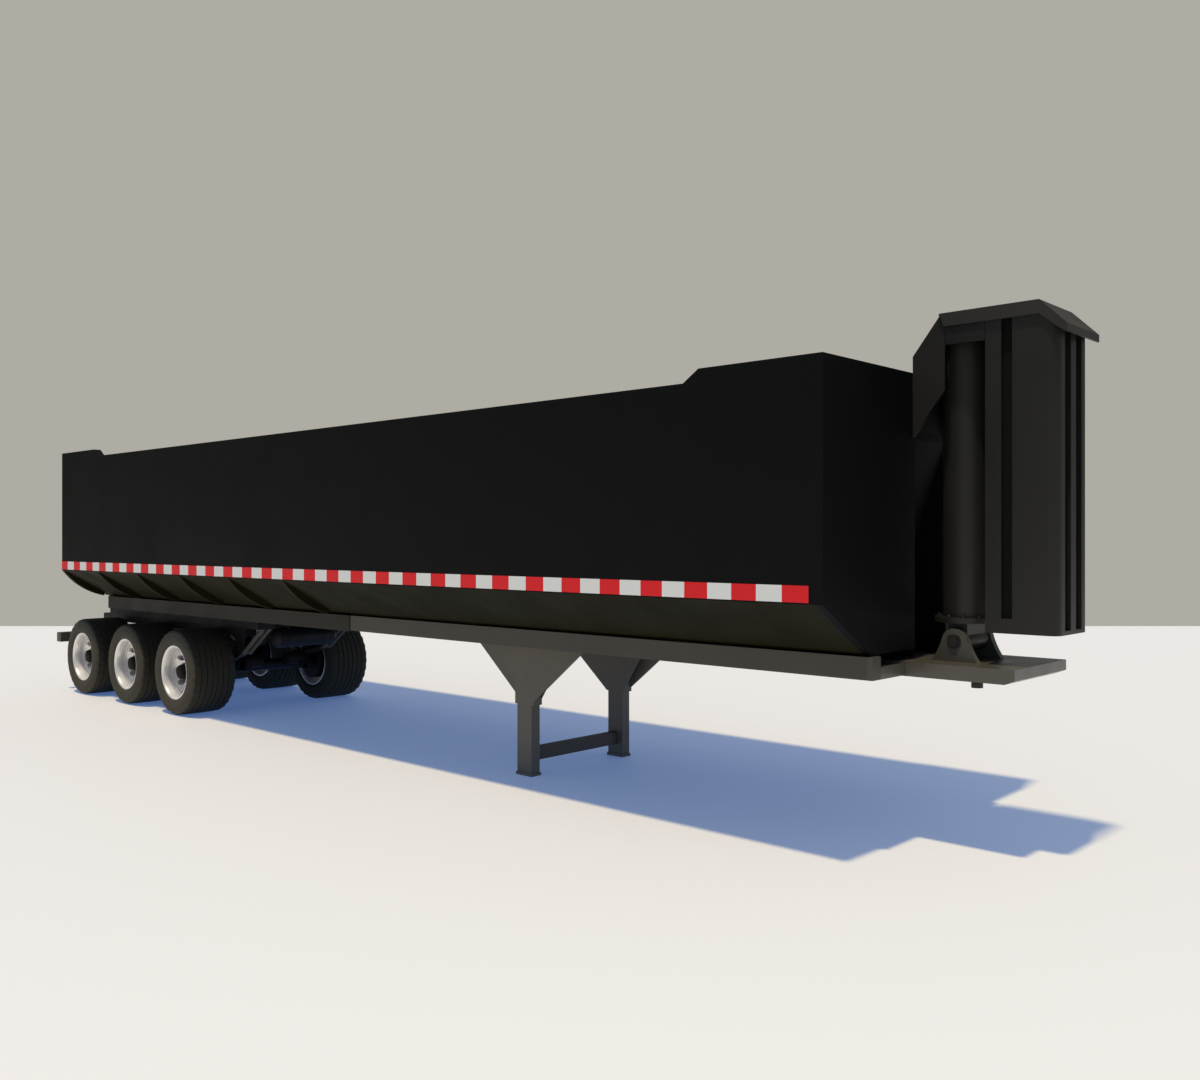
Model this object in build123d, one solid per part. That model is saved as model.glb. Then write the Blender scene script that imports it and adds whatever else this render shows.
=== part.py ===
from build123d import *
import os
from math import sqrt

# Tri-axle end-dump semi-trailer, parked on its landing legs, in millimetres.
# X points forward and +Z up. Stations count forward from the tub's rear edge
# and are moved at the end so that the origin is under the middle of the trailer.

# Tub
TUB_LENGTH = 10560
TUB_HALF_WIDTH = 1295
WALL = 50
FLOOR_BOTTOM_Z = 1195
FOOT_Z = 1515
SLOPE_RUN = 535
TOP_Z = 2840
RAISED_TOP_Z = 2920
REAR_RAISED_LENGTH = 910
FRONT_RAISED_LENGTH = 870
RAISE_RAMP = 120
TOP_RAIL_HEIGHT = 60
TOP_RAIL_WIDTH = 80
RIB_COUNT = 5
RIB_FIRST_X = 1005
RIB_PITCH = 985
RIB_WIDTH = 60
RIB_DEPTH = 68
RIB_END_DEPTH = 28
RIB_END_GAP = 16
WEAR_STRIP_INSET = 128
WEAR_STRIP_WIDTH = 72
WEAR_STRIP_DEPTH = 17

# Reflective tape
TAPE_BLOCKS = 59
TAPE_FRONT_GAP = 90
TAPE_RISE = 8
TAPE_HEIGHT = 97
TAPE_THICKNESS = 2

# Frame
RAIL_INSET = 499
RAIL_WIDTH = 100
RAIL_BOTTOM_Z = 1050
BED_GAP = 8
RAIL_REAR_X = 150
RAIL_FRONT_OVERHANG = 30
REAR_BOX_SETBACK = 5270
REAR_BOX_PROUD = 8
CROSS_HEIGHT = 110
CROSS_WIDTH = 80
CROSS_WEB = 12
CROSS_AXLE_OFFSETS = (240, 590, 760)
SUSPENSION_BEAM_INSET = 56
SUSPENSION_BEAM_WIDTH = 200
SUSPENSION_BEAM_BOTTOM_Z = 940
SUSPENSION_BEAM_REAR_X = -180
SUSPENSION_BEAM_FRONT_X = 3400
LOWER_BEAM_WIDTH = 120
LOWER_BEAM_BOTTOM_Z = 850
LOWER_BEAM_REAR_X = -560
LOWER_BEAM_FRONT_X = 3020

# Bed hinge
HINGE_X = 0
HINGE_Z = 1090
HINGE_PIN_RADIUS = 35
HINGE_LUG_THICKNESS = 50
HINGE_LUG_RADIUS = 70
HINGE_SIDE_GAP = 10
PIN_CLEARANCE = 0.05

# Tailgate
GATE_THICKNESS = 70
GATE_CLEARANCE = 10
GATE_REAR_X = -20
GATE_TOP_Z = 2785
GATE_PIN_Z = 2835
GATE_PIN_RADIUS = 20
GATE_EAR_RADIUS = 42
GATE_EAR_THICKNESS = 40
GATE_EAR_INSET = 40
GATE_PIN_OVERLAP = 10
GATE_RIB_DEPTH = 30
GATE_RIB_WIDTH = 90
GATE_RIB_COUNT = 4

# Wheels
TYRE_RADIUS = 458
TYRE_WIDTH = 512
BEAD_RADIUS = 276
RIM_HALF_WIDTH = 236
BEAD_OFFSET = 224
SIDEWALL_OFFSET = 247
SIDEWALL_RADIUS = 306
# Shoulder as (inset from the widest point, drop below the tread)
SHOULDER = ((0, 96), (6, 40), (20, 14), (44, 3), (80, 0))
TYRE_INSET = 196
RIM_WALL = 12
DISC_THICKNESS = 8
DISC_DEPTH = 110
DISC_FLAT_RADIUS = 185
DISC_BORE = 65
HUB_RADIUS = 84
HUB_FLANGE_RADIUS = 165
HUB_FLANGE_DEPTH = 60
HUB_CHAMFER = 12
HUB_NOSE_INSET = 69
DRUM_RADIUS = 205
DRUM_INSET = 507
SPINDLE_RADIUS = 45
SPINDLE_INSET = 159
SPINDLE_END_GAP = 5
DRUM_GAP = 0.3
AXLE_RADIUS = 64
AXLE_X = (60, 1250, 2440)

# Suspension
SPRING_WIDTH = 76
SPRING_THICKNESS = 42
SPRING_HALF_LENGTH = 430
SPRING_END_RISE = 85
SPRING_SEAT = 26
SPRING_CLAMP_HALF = 61
ROCKER_TOP_HALF = 38
HANGER_THICKNESS = 14
HANGER_FOOT = 62
HANGER_TOP = 100
HANGER_LAP = 25
ROCKER_HEIGHT = 55
ROCKER_PIN_RADIUS = 22

# Landing legs
LEG_SETBACK = 3170
LEG_INSET = 111
LEG_WIDTH = 90
LEG_LENGTH_X = 165
LEG_SLEEVE_GROW = 26
LEG_SLEEVE_BOTTOM_Z = 565
FOOT_HEIGHT = 24
GUSSET_THICKNESS = 16
LEG_BRACE_Z = 110
LEG_BRACE_HEIGHT = 105
LEG_BRACE_HALF_LENGTH = 30
FOOT_LAP = 8
REAR_GUSSET = 378
REAR_GUSSET_Z = 750
FRONT_GUSSET = 568
FRONT_GUSSET_Z = 600

# Coupler
PLATE_INSET = 301
PLATE_SETBACK = 1060
PLATE_REACH = 708
PLATE_BOTTOM_Z = 1044
PLATE_TOP_Z = 1133
PLATE_NOSE = 60
PLATE_NOSE_RISE = 25
WING_HEIGHT = 70
KINGPIN_REACH = 310
KINGPIN_COLLAR_RADIUS = 36.5
KINGPIN_NECK_RADIUS = 25.4
KINGPIN_HEAD_RADIUS = 35.7
KINGPIN_COLLAR = 18
KINGPIN_NECK = 35
KINGPIN_HEAD = 31

# Hoist
HOIST_REACH = 252
HOIST_PIN_Z = 1255
HOIST_PIN_RADIUS = 30
EAR_INNER_Y = 150
EAR_THICKNESS = 50
EAR_TOP_RADIUS = 80
EAR_SHOULDER_RISE = 24
EAR_BASE_HALF = 148
EAR_WAIST_HALF = 115
EAR_WAIST_RISE = 52
EAR_SIDE_GAP = 5
LUG_RADIUS = 72
LUG_HALF_LENGTH = 60
HOIST_FLANGE_RADIUS = 198
HOIST_FLANGE_Z = 1367
HOIST_FLANGE_THICKNESS = 33
BARREL_RADIUS = 153
BARREL_WALL = 12
STAGE_RADII = (128, 108, 89, 71, 54)
STAGE_WALL = 10
STAGE_STEP = 8
GLAND_HEIGHT = 40
GLAND_CLEARANCE = 0.6
ROD_EYE_RADIUS = 52
ROD_EYE_HALF_WIDTH = 60
ROD_PIN_RADIUS = 30
ROD_PIN_HALF_LENGTH = 192
SADDLE_CLEARANCE = 2
SADDLE_BACK = 70
SADDLE_FRONT = 8
SADDLE_WIDTH = 62

# Doghouse, hoist bracket, cap and guard
CAP_TOP_Z = 3262
DOGHOUSE_HALF_WIDTH = 222
DOGHOUSE_DEPTH = 400
DOGHOUSE_SKIRT_Z = 1142
SHEET = 12
CHEEK_OUTER_Y = 240
CHEEK_THICKNESS = 38
CHEEK_BOTTOM_DROP = 400
CHEEK_BACK_DROP = 242
CHEEK_LAP = 40
CHEEK_LENGTH = 212
CHEEK_SLOPE = 1.3
CHEEK_TOP_SET = 186
CHEEK_TOP_CUT = 9
BACK_DEPTH = 12
CAP_SKIRT_DROP = 82
CAP_SLOPE_REACH = 792
CAP_LIP_REACH = 952
CAP_LIP_DROP = 157
CAP_LIP_HEIGHT = 45
CAP_HALF_WIDTH = 258
GUARD_REACH = 466
GUARD_LENGTH = 428
GUARD_BOTTOM_Z = 1326
GUARD_WALL = 45
GUARD_CORNER_RADIUS = 62
SIDE_GROOVE = (97, 163)
SIDE_GROOVE_DEPTH = 34
SIDE_GROOVE_Z = 1413
FRONT_GROOVE = (40, 132)
FRONT_GROOVE_DEPTH = 28
FRONT_GROOVE_Z = 1350

# Rear bumper and lamps
BUMPER_REAR_X = -666
BUMPER_DEPTH = 120
BUMPER_INSET = 195
BUMPER_BOTTOM_Z = 600
BUMPER_HEIGHT = 115
BUMPER_ARM_THICKNESS = 30
BUMPER_ARM_TOP = 80
LAMP_INSETS = (120, 260)
LAMP_SIZE = 90
LAMP_PROUD = 20

# Worked out from the sizes above
RAIL_TOP_Z = FLOOR_BOTTOM_Z - BED_GAP
RAIL_FRONT_X = TUB_LENGTH + RAIL_FRONT_OVERHANG
INNER_HALF_WIDTH = TUB_HALF_WIDTH - WALL
FLOOR_HALF_WIDTH = TUB_HALF_WIDTH - SLOPE_RUN
SLOPE = (FOOT_Z - FLOOR_BOTTOM_Z) / SLOPE_RUN
SLOPE_LIFT = sqrt(1 + SLOPE**2)
WALL_FRONT_X = TUB_LENGTH - WALL
GATE_PIN_X = GATE_REAR_X + GATE_THICKNESS / 2
AXLE_Z = TYRE_RADIUS
SIDEWALL_SLOPE = (SIDEWALL_RADIUS - BEAD_RADIUS) / (SIDEWALL_OFFSET - BEAD_OFFSET)
RIM_LIP_RADIUS = BEAD_RADIUS + (RIM_HALF_WIDTH - BEAD_OFFSET) * SIDEWALL_SLOPE
RAIL_OUTER_Y = TUB_HALF_WIDTH - RAIL_INSET
RAIL_INNER_Y = RAIL_OUTER_Y - RAIL_WIDTH
WEAR_STRIP_OUTER_Y = FLOOR_HALF_WIDTH - WEAR_STRIP_INSET
REAR_BOX_FRONT_X = TUB_LENGTH - REAR_BOX_SETBACK
SUSPENSION_BEAM_OUTER_Y = RAIL_INNER_Y - SUSPENSION_BEAM_INSET
SUSPENSION_BEAM_INNER_Y = SUSPENSION_BEAM_OUTER_Y - SUSPENSION_BEAM_WIDTH
SPRING_Y = SUSPENSION_BEAM_INNER_Y + LOWER_BEAM_WIDTH / 2
TYRE_OUTER_Y = TUB_HALF_WIDTH - TYRE_INSET
HUB_NOSE_Y = TYRE_OUTER_Y - HUB_NOSE_INSET
DRUM_INNER_Y = TYRE_OUTER_Y - DRUM_INSET
SPINDLE_END_Y = TYRE_OUTER_Y - SPINDLE_INSET
LEG_X = TUB_LENGTH - LEG_SETBACK
LEG_OUTER_Y = RAIL_INNER_Y - LEG_INSET
LEG_INNER_Y = LEG_OUTER_Y - LEG_WIDTH
PLATE_HALF_WIDTH = RAIL_INNER_Y - PLATE_INSET
PLATE_REAR_X = TUB_LENGTH - PLATE_SETBACK
PLATE_FRONT_X = TUB_LENGTH + PLATE_REACH
KINGPIN_X = TUB_LENGTH + KINGPIN_REACH
HOIST_X = TUB_LENGTH + HOIST_REACH
CHEEK_BOTTOM_Z = RAISED_TOP_Z - CHEEK_BOTTOM_DROP
CHEEK_BACK_Z = CAP_TOP_Z - CHEEK_BACK_DROP
CAP_SKIRT_Z = CAP_TOP_Z - CAP_SKIRT_DROP
CAP_SLOPE_X = TUB_LENGTH + CAP_SLOPE_REACH
CAP_LIP_X = TUB_LENGTH + CAP_LIP_REACH
CAP_LIP_TOP_Z = CAP_TOP_Z - CAP_LIP_DROP
CAP_LIP_BOTTOM_Z = CAP_LIP_TOP_Z - CAP_LIP_HEIGHT
GUARD_REAR_X = TUB_LENGTH + GUARD_REACH
GUARD_FRONT_X = GUARD_REAR_X + GUARD_LENGTH
BUMPER_HALF_WIDTH = TUB_HALF_WIDTH - BUMPER_INSET
LAMP_Y = [BUMPER_HALF_WIDTH - inset for inset in LAMP_INSETS]
HOIST_EYE_Z = CAP_SKIRT_Z
BARREL_TOP_Z = HOIST_EYE_Z - ROD_EYE_RADIUS - len(STAGE_RADII) * STAGE_STEP
DOGHOUSE_TOP_Z = CHEEK_BOTTOM_Z + CHEEK_LAP
HUB_FACE_Y = TYRE_OUTER_Y - TYRE_WIDTH / 2
X_SHIFT = -(BUMPER_REAR_X + CAP_LIP_X) / 2

nodes = {}


def keep(name, *shapes):
    nodes[name] = Compound(children=[s for shape in shapes for s in shape.solids()])


def box(x0, x1, y0, y1, z0, z1):
    return Pos((x0 + x1) / 2, (y0 + y1) / 2, (z0 + z1) / 2) * Box(x1 - x0, y1 - y0, z1 - z0)


def side_plate(points, y0, y1):
    # A plate whose outline is given as (x, z) and which spans y0 to y1
    face = make_face(Polyline(*[(x, y0, z) for x, z in points], close=True))
    return extrude(face, amount=y1 - y0, dir=(0, 1, 0))


def rod_y(x, z, radius, y0, y1):
    disc = Plane((x, y0, z), x_dir=(1, 0, 0), z_dir=(0, 1, 0)) * Circle(radius)
    return extrude(disc, amount=y1 - y0, dir=(0, 1, 0))


def rod_z(x, y, radius, z0, z1):
    return Pos(x, y, (z0 + z1) / 2) * Cylinder(radius, z1 - z0)


def both_sides(shape):
    return [shape, mirror(shape, about=Plane.XZ)]


def slope_z(y, inset=0):
    # Height of the tub's sloped lower side at a half width, moved inward by inset
    return FLOOR_BOTTOM_Z + (y - FLOOR_HALF_WIDTH) * SLOPE + inset * SLOPE_LIFT


def cross_section(x, inset, top_z):
    # Section with straight sides, sloped lower sides and a flat floor, moved inward by inset
    half = TUB_HALF_WIDTH - inset
    floor_z = FLOOR_BOTTOM_Z + inset
    floor_half = FLOOR_HALF_WIDTH + inset * (1 - SLOPE_LIFT) / SLOPE
    right = [(x, -half, top_z), (x, -half, slope_z(half, inset)), (x, -floor_half, floor_z)]
    left = [(px, -py, pz) for px, py, pz in right[::-1]]
    return make_face(Polyline(*right, *left, close=True))


def top_line(drop):
    # Points (x, z) of the tub's top edge with its raised ends, lowered by drop
    ramp_front_x = TUB_LENGTH - FRONT_RAISED_LENGTH - RAISE_RAMP
    return [
        (0, RAISED_TOP_Z - drop),
        (REAR_RAISED_LENGTH, RAISED_TOP_Z - drop),
        (REAR_RAISED_LENGTH + RAISE_RAMP, TOP_Z - drop),
        (ramp_front_x, TOP_Z - drop),
        (ramp_front_x + RAISE_RAMP, RAISED_TOP_Z - drop),
        (WALL_FRONT_X, RAISED_TOP_Z - drop),
    ]


def doghouse_outline():
    # Outline (x, z) of the hoist's recess in the tub's front, with its sloped back
    back_x = TUB_LENGTH - DOGHOUSE_DEPTH
    front_x = TUB_LENGTH + SHEET
    return [(TUB_LENGTH, DOGHOUSE_TOP_Z), (back_x, FLOOR_BOTTOM_Z), (back_x, DOGHOUSE_SKIRT_Z),
            (front_x, DOGHOUSE_SKIRT_Z), (front_x, DOGHOUSE_TOP_Z)]


def tub():
    wall_outline = [(0, FOOT_Z), (WALL_FRONT_X, FOOT_Z)] + top_line(TOP_RAIL_HEIGHT)[::-1]
    wall = side_plate(wall_outline, -TUB_HALF_WIDTH, -INNER_HALF_WIDTH)
    pin_end = INNER_HALF_WIDTH - GATE_EAR_INSET - GATE_EAR_THICKNESS - GATE_PIN_OVERLAP
    gate_pin = rod_y(GATE_PIN_X, GATE_PIN_Z, GATE_PIN_RADIUS, pin_end, INNER_HALF_WIDTH)
    for name, shape in zip(("tub_side_right", "tub_side_left"), both_sides(wall)):
        keep(name, shape)

    rail_outline = top_line(TOP_RAIL_HEIGHT) + top_line(0)[::-1]
    rail = side_plate(rail_outline, -TUB_HALF_WIDTH, TOP_RAIL_WIDTH - TUB_HALF_WIDTH)
    keep("top_rails", *both_sides(rail))
    keep("tailgate_pins", *both_sides(gate_pin))

    outer = extrude(cross_section(0, 0, TOP_Z), amount=WALL_FRONT_X, dir=(1, 0, 0))
    inner = extrude(cross_section(0, WALL, RAISED_TOP_Z), amount=WALL_FRONT_X, dir=(1, 0, 0))
    lower = box(0, WALL_FRONT_X, -TUB_HALF_WIDTH, TUB_HALF_WIDTH, FLOOR_BOTTOM_Z, FOOT_Z)
    recess = side_plate(doghouse_outline(), -DOGHOUSE_HALF_WIDTH, DOGHOUSE_HALF_WIDTH)
    bottom = (outer & lower) - inner
    strip = box(RAIL_REAR_X, WALL_FRONT_X, WEAR_STRIP_OUTER_Y - WEAR_STRIP_WIDTH, WEAR_STRIP_OUTER_Y,
                FLOOR_BOTTOM_Z - WEAR_STRIP_DEPTH, FLOOR_BOTTOM_Z)
    for piece in both_sides(strip):
        bottom += piece
    keep("tub_bottom", bottom - recess)

    front = extrude(cross_section(WALL_FRONT_X, 0, RAISED_TOP_Z), amount=WALL, dir=(1, 0, 0))
    keep("tub_front", front - recess)

    keep("doghouse", doghouse())


def doghouse():
    # Sheet-metal recess that the hoist swings into, with its cheeks and sloped back
    cheek_y = DOGHOUSE_HALF_WIDTH - SHEET
    body = side_plate(doghouse_outline(), -DOGHOUSE_HALF_WIDTH, DOGHOUSE_HALF_WIDTH)
    hollow_points = [(x + SHEET, z - SHEET) for x, z in doghouse_outline()]
    hollow = side_plate(hollow_points, -cheek_y, cheek_y)
    return (body - hollow) & box(0, TUB_LENGTH, -DOGHOUSE_HALF_WIDTH, DOGHOUSE_HALF_WIDTH, 0, DOGHOUSE_TOP_Z)


def slope_ribs():
    # Ribs across the sloped lower sides, deepest at their middle, with one at the rear edge
    stations = [0] + [RIB_FIRST_X - RIB_WIDTH / 2 + i * RIB_PITCH for i in range(RIB_COUNT)]
    low_y = RAIL_OUTER_Y + RIB_END_GAP
    middle_y = (TUB_HALF_WIDTH + low_y) / 2
    ribs = []
    for x in stations:
        foot = (x, -TUB_HALF_WIDTH, FOOT_Z)
        middle = (x, -middle_y, slope_z(middle_y, -RIB_DEPTH))
        low = (x, -low_y, slope_z(low_y, -RIB_END_DEPTH))
        inner = (x, -low_y, slope_z(low_y))
        face = make_face([ThreePointArc(foot, middle, low), Line(low, inner), Line(inner, foot)])
        ribs += both_sides(extrude(face, amount=RIB_WIDTH, dir=(1, 0, 0)))
    keep("slope_ribs", *ribs)


def tape():
    # Alternating blocks along the foot of each side wall, red at both ends
    run = TUB_LENGTH - TAPE_FRONT_GAP
    block = run / TAPE_BLOCKS
    red = []
    white = []
    z0 = FOOT_Z + TAPE_RISE
    for i in range(TAPE_BLOCKS):
        y0 = -TUB_HALF_WIDTH - TAPE_THICKNESS
        piece = box(i * block, (i + 1) * block, y0, -TUB_HALF_WIDTH, z0, z0 + TAPE_HEIGHT)
        colour = red if i % 2 == 0 else white
        colour += both_sides(piece)
    keep("tape_red", *red)
    keep("tape_white", *white)


def tailgate():
    section = cross_section(GATE_REAR_X, WALL + GATE_CLEARANCE, GATE_TOP_Z)
    gate = extrude(section, amount=GATE_THICKNESS, dir=(1, 0, 0))
    ear_y1 = INNER_HALF_WIDTH - GATE_EAR_INSET
    ear_y0 = ear_y1 - GATE_EAR_THICKNESS
    x = GATE_PIN_X
    ear = rod_y(x, GATE_PIN_Z, GATE_EAR_RADIUS, ear_y0, ear_y1)
    ear += box(x - GATE_THICKNESS / 2, x + GATE_THICKNESS / 2, ear_y0, ear_y1, GATE_TOP_Z - WALL, GATE_PIN_Z)
    ear -= rod_y(x, GATE_PIN_Z, GATE_PIN_RADIUS + PIN_CLEARANCE, ear_y0, ear_y1)
    for piece in both_sides(ear):
        gate += piece
    rib_pitch = (2 * FLOOR_HALF_WIDTH - GATE_RIB_WIDTH) / (GATE_RIB_COUNT - 1)
    bottom_z = FLOOR_BOTTOM_Z + WALL + GATE_CLEARANCE + GATE_RIB_WIDTH
    for i in range(GATE_RIB_COUNT):
        y = -FLOOR_HALF_WIDTH + i * rib_pitch
        gate += box(GATE_REAR_X - GATE_RIB_DEPTH, GATE_REAR_X, y, y + GATE_RIB_WIDTH, bottom_z,
                    GATE_TOP_Z - GATE_RIB_WIDTH)
    keep("tailgate", gate)


def frame_rails():
    y0 = -RAIL_OUTER_Y
    y1 = -RAIL_INNER_Y
    rail = box(REAR_BOX_FRONT_X, RAIL_FRONT_X, y0, y1, RAIL_BOTTOM_Z, RAIL_TOP_Z)
    keep("frame_rails", *both_sides(rail))
    rear = box(RAIL_REAR_X, REAR_BOX_FRONT_X, y0 - REAR_BOX_PROUD, -SUSPENSION_BEAM_OUTER_Y,
               RAIL_BOTTOM_Z - REAR_BOX_PROUD, RAIL_TOP_Z)
    keep("rear_boxes", *both_sides(rear))
    inner_y = -SUSPENSION_BEAM_INNER_Y
    beam = box(SUSPENSION_BEAM_REAR_X, SUSPENSION_BEAM_FRONT_X, -SUSPENSION_BEAM_OUTER_Y, inner_y,
               SUSPENSION_BEAM_BOTTOM_Z, RAIL_BOTTOM_Z + BED_GAP)
    beam += box(LOWER_BEAM_REAR_X, LOWER_BEAM_FRONT_X, inner_y - LOWER_BEAM_WIDTH, inner_y,
                LOWER_BEAM_BOTTOM_Z, SUSPENSION_BEAM_BOTTOM_Z)
    keep("suspension_beams", *both_sides(beam))


def crossmembers():
    front = RAIL_INNER_Y
    rear = SUSPENSION_BEAM_INNER_Y
    front_z = RAIL_BOTTOM_Z + SHEET + CROSS_HEIGHT
    rear_z = RAIL_BOTTOM_Z + BED_GAP
    first_x = REAR_BOX_FRONT_X + CROSS_WIDTH
    middle_x = (first_x + LEG_X) / 2
    last_x = (LEG_X + PLATE_REAR_X) / 2
    # Station, half width spanned and top height
    table = [(x + offset, rear, rear_z) for x, offset in zip(AXLE_X, CROSS_AXLE_OFFSETS)]
    table += [(x, front, front_z) for x in (first_x, middle_x, LEG_X, last_x)]
    pieces = []
    for x, half, z1 in table:
        z0 = z1 - CROSS_HEIGHT
        outer = box(x, x + CROSS_WIDTH, -half, half, z0, z1)
        slot = box(x + CROSS_WEB, x + CROSS_WIDTH, -half, half, z0 + CROSS_WEB, z1 - CROSS_WEB)
        pieces.append(outer - slot)
    keep("crossmembers", *pieces)


def bed_hinge():
    lug_y0 = SUSPENSION_BEAM_OUTER_Y + HINGE_SIDE_GAP
    lug_y1 = lug_y0 + HINGE_LUG_THICKNESS
    pin_end = lug_y1 + HINGE_SIDE_GAP * 2
    pin = rod_y(HINGE_X, HINGE_Z, HINGE_PIN_RADIUS, SUSPENSION_BEAM_OUTER_Y, pin_end)
    boss = box(HINGE_X - HINGE_LUG_RADIUS, HINGE_X + HINGE_LUG_RADIUS, SUSPENSION_BEAM_INNER_Y,
               SUSPENSION_BEAM_OUTER_Y, RAIL_BOTTOM_Z + BED_GAP, HINGE_Z + HINGE_PIN_RADIUS)
    keep("hinge_pins", *both_sides(pin + boss))
    lug = rod_y(HINGE_X, HINGE_Z, HINGE_LUG_RADIUS, lug_y0, lug_y1)
    lug += box(HINGE_X - HINGE_LUG_RADIUS, HINGE_X + HINGE_LUG_RADIUS, lug_y0, lug_y1, HINGE_Z,
               FLOOR_BOTTOM_Z)
    lug -= rod_y(HINGE_X, HINGE_Z, HINGE_PIN_RADIUS + PIN_CLEARANCE, lug_y0, lug_y1)
    keep("hinge_lugs", *both_sides(lug))


def spring(x):
    # Leaf pack and the plate that its U-bolts clamp, over one axle
    seat_z = AXLE_Z + AXLE_RADIUS + SPRING_SEAT
    y0 = SPRING_Y - SPRING_WIDTH / 2
    ends = (-SPRING_HALF_LENGTH, 0, SPRING_HALF_LENGTH)
    rise = (SPRING_END_RISE, 0, SPRING_END_RISE)
    low = [(x + dx, y0, seat_z + dz) for dx, dz in zip(ends, rise)]
    high = [(px, py, pz + SPRING_THICKNESS) for px, py, pz in low]
    face = make_face([ThreePointArc(*low), Line(low[2], high[2]), ThreePointArc(*high[::-1]),
                      Line(high[0], low[0])])
    leaf = extrude(face, amount=SPRING_WIDTH, dir=(0, 1, 0))
    clamp_half = SPRING_CLAMP_HALF
    top = box(x - clamp_half, x + clamp_half, y0, y0 + SPRING_WIDTH, seat_z + SPRING_THICKNESS,
              seat_z + SPRING_THICKNESS + SPRING_SEAT)
    return leaf, top


def suspension():
    springs = []
    seats = []
    hangers = []
    rockers = []
    y0 = SPRING_Y - SPRING_WIDTH / 2
    y1 = SPRING_Y + SPRING_WIDTH / 2
    seat_z = AXLE_Z + AXLE_RADIUS + SPRING_SEAT
    for x in AXLE_X:
        leaf, top = spring(x)
        springs += both_sides(leaf + (top - leaf))
        seat = box(x - SPRING_WIDTH, x + SPRING_WIDTH, y0, y1, AXLE_Z, seat_z + SPRING_SEAT)
        seat -= rod_y(x, AXLE_Z, AXLE_RADIUS + PIN_CLEARANCE, y0, y1)
        seat -= Pos(0, 0, -PIN_CLEARANCE) * leaf
        seats += both_sides(seat)
    keep("springs", *springs)
    keep("spring_seats", *seats)
    end_z = seat_z + SPRING_END_RISE + SPRING_THICKNESS
    ends = (AXLE_X[0] - SPRING_HALF_LENGTH, AXLE_X[-1] + SPRING_HALF_LENGTH)
    middles = [(a + b) / 2 for a, b in zip(AXLE_X, AXLE_X[1:])]
    rocker_z = end_z + ROCKER_HEIGHT
    for x in [*ends, *middles]:
        outline = [(x - HANGER_FOOT, end_z - HANGER_LAP), (x + HANGER_FOOT, end_z - HANGER_LAP),
                   (x + HANGER_TOP, LOWER_BEAM_BOTTOM_Z), (x - HANGER_TOP, LOWER_BEAM_BOTTOM_Z)]
        hanger = side_plate(outline, y0 - HANGER_THICKNESS, y1 + HANGER_THICKNESS)
        hanger -= box(x - HANGER_TOP, x + HANGER_TOP, y0, y1, 0, LOWER_BEAM_BOTTOM_Z - HANGER_THICKNESS)
        hanger += rod_y(x, rocker_z, ROCKER_PIN_RADIUS, y0, y1)
        hangers += both_sides(hanger)
        reach = ROCKER_HEIGHT
        if x in middles:
            reach = middles[0] - AXLE_X[0] - SPRING_HALF_LENGTH + ROCKER_HEIGHT / 2
        top_half = ROCKER_TOP_HALF
        rocker = side_plate([(x - reach, end_z), (x + reach, end_z), (x + reach, end_z + HANGER_LAP),
                             (x + top_half, rocker_z + top_half), (x - top_half, rocker_z + top_half),
                             (x - reach, end_z + HANGER_LAP)], y0, y1)
        rockers += both_sides(rocker - rod_y(x, rocker_z, ROCKER_PIN_RADIUS, y0, y1))
    keep("spring_hangers", *hangers)
    keep("spring_rockers", *rockers)


def axles():
    for number, x in enumerate(AXLE_X, 1):
        beam_end = DRUM_INNER_Y - DRUM_GAP
        beam = rod_y(x, AXLE_Z, AXLE_RADIUS, -beam_end, beam_end)
        spindle = rod_y(x, AXLE_Z, SPINDLE_RADIUS, -SPINDLE_END_Y, SPINDLE_END_Y)
        keep(f"axle_{number}", beam + spindle)


def revolve_y(points, x):
    # Ring or dish turned about a wheel's axle from (y, radius) points
    face = make_face(Polyline(*[(x, y, AXLE_Z + r) for y, r in points], close=True))
    return revolve(face, axis=Axis((x, 0, AXLE_Z), (0, 1, 0)), revolution_arc=360)


def tyre(x, y):
    half = TYRE_WIDTH / 2
    section = [(BEAD_OFFSET, BEAD_RADIUS), (SIDEWALL_OFFSET, SIDEWALL_RADIUS)]
    section += [(half - inset, TYRE_RADIUS - drop) for inset, drop in SHOULDER]
    points = [(y - dy, r) for dy, r in section]
    points += [(y + dy, r) for dy, r in section[::-1]]
    return revolve_y(points, x)


def rim(x, y):
    # Rim barrel with lips at both edges, and its dished disc in to the hub face
    inner = BEAD_RADIUS - RIM_WALL
    barrel = revolve_y([(y - RIM_HALF_WIDTH, inner), (y - RIM_HALF_WIDTH, RIM_LIP_RADIUS),
                        (y - BEAD_OFFSET, BEAD_RADIUS), (y + BEAD_OFFSET, BEAD_RADIUS),
                        (y + RIM_HALF_WIDTH, RIM_LIP_RADIUS), (y + RIM_HALF_WIDTH, inner)], x)
    edge_y = HUB_FACE_Y + DISC_DEPTH
    back = HUB_FACE_Y - DISC_THICKNESS
    disc = revolve_y([(edge_y, inner), (HUB_FACE_Y, DISC_FLAT_RADIUS), (HUB_FACE_Y, DISC_BORE),
                      (back, DISC_BORE), (back, DISC_FLAT_RADIUS), (edge_y - RIM_WALL, inner)], x)
    return barrel + disc


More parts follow.
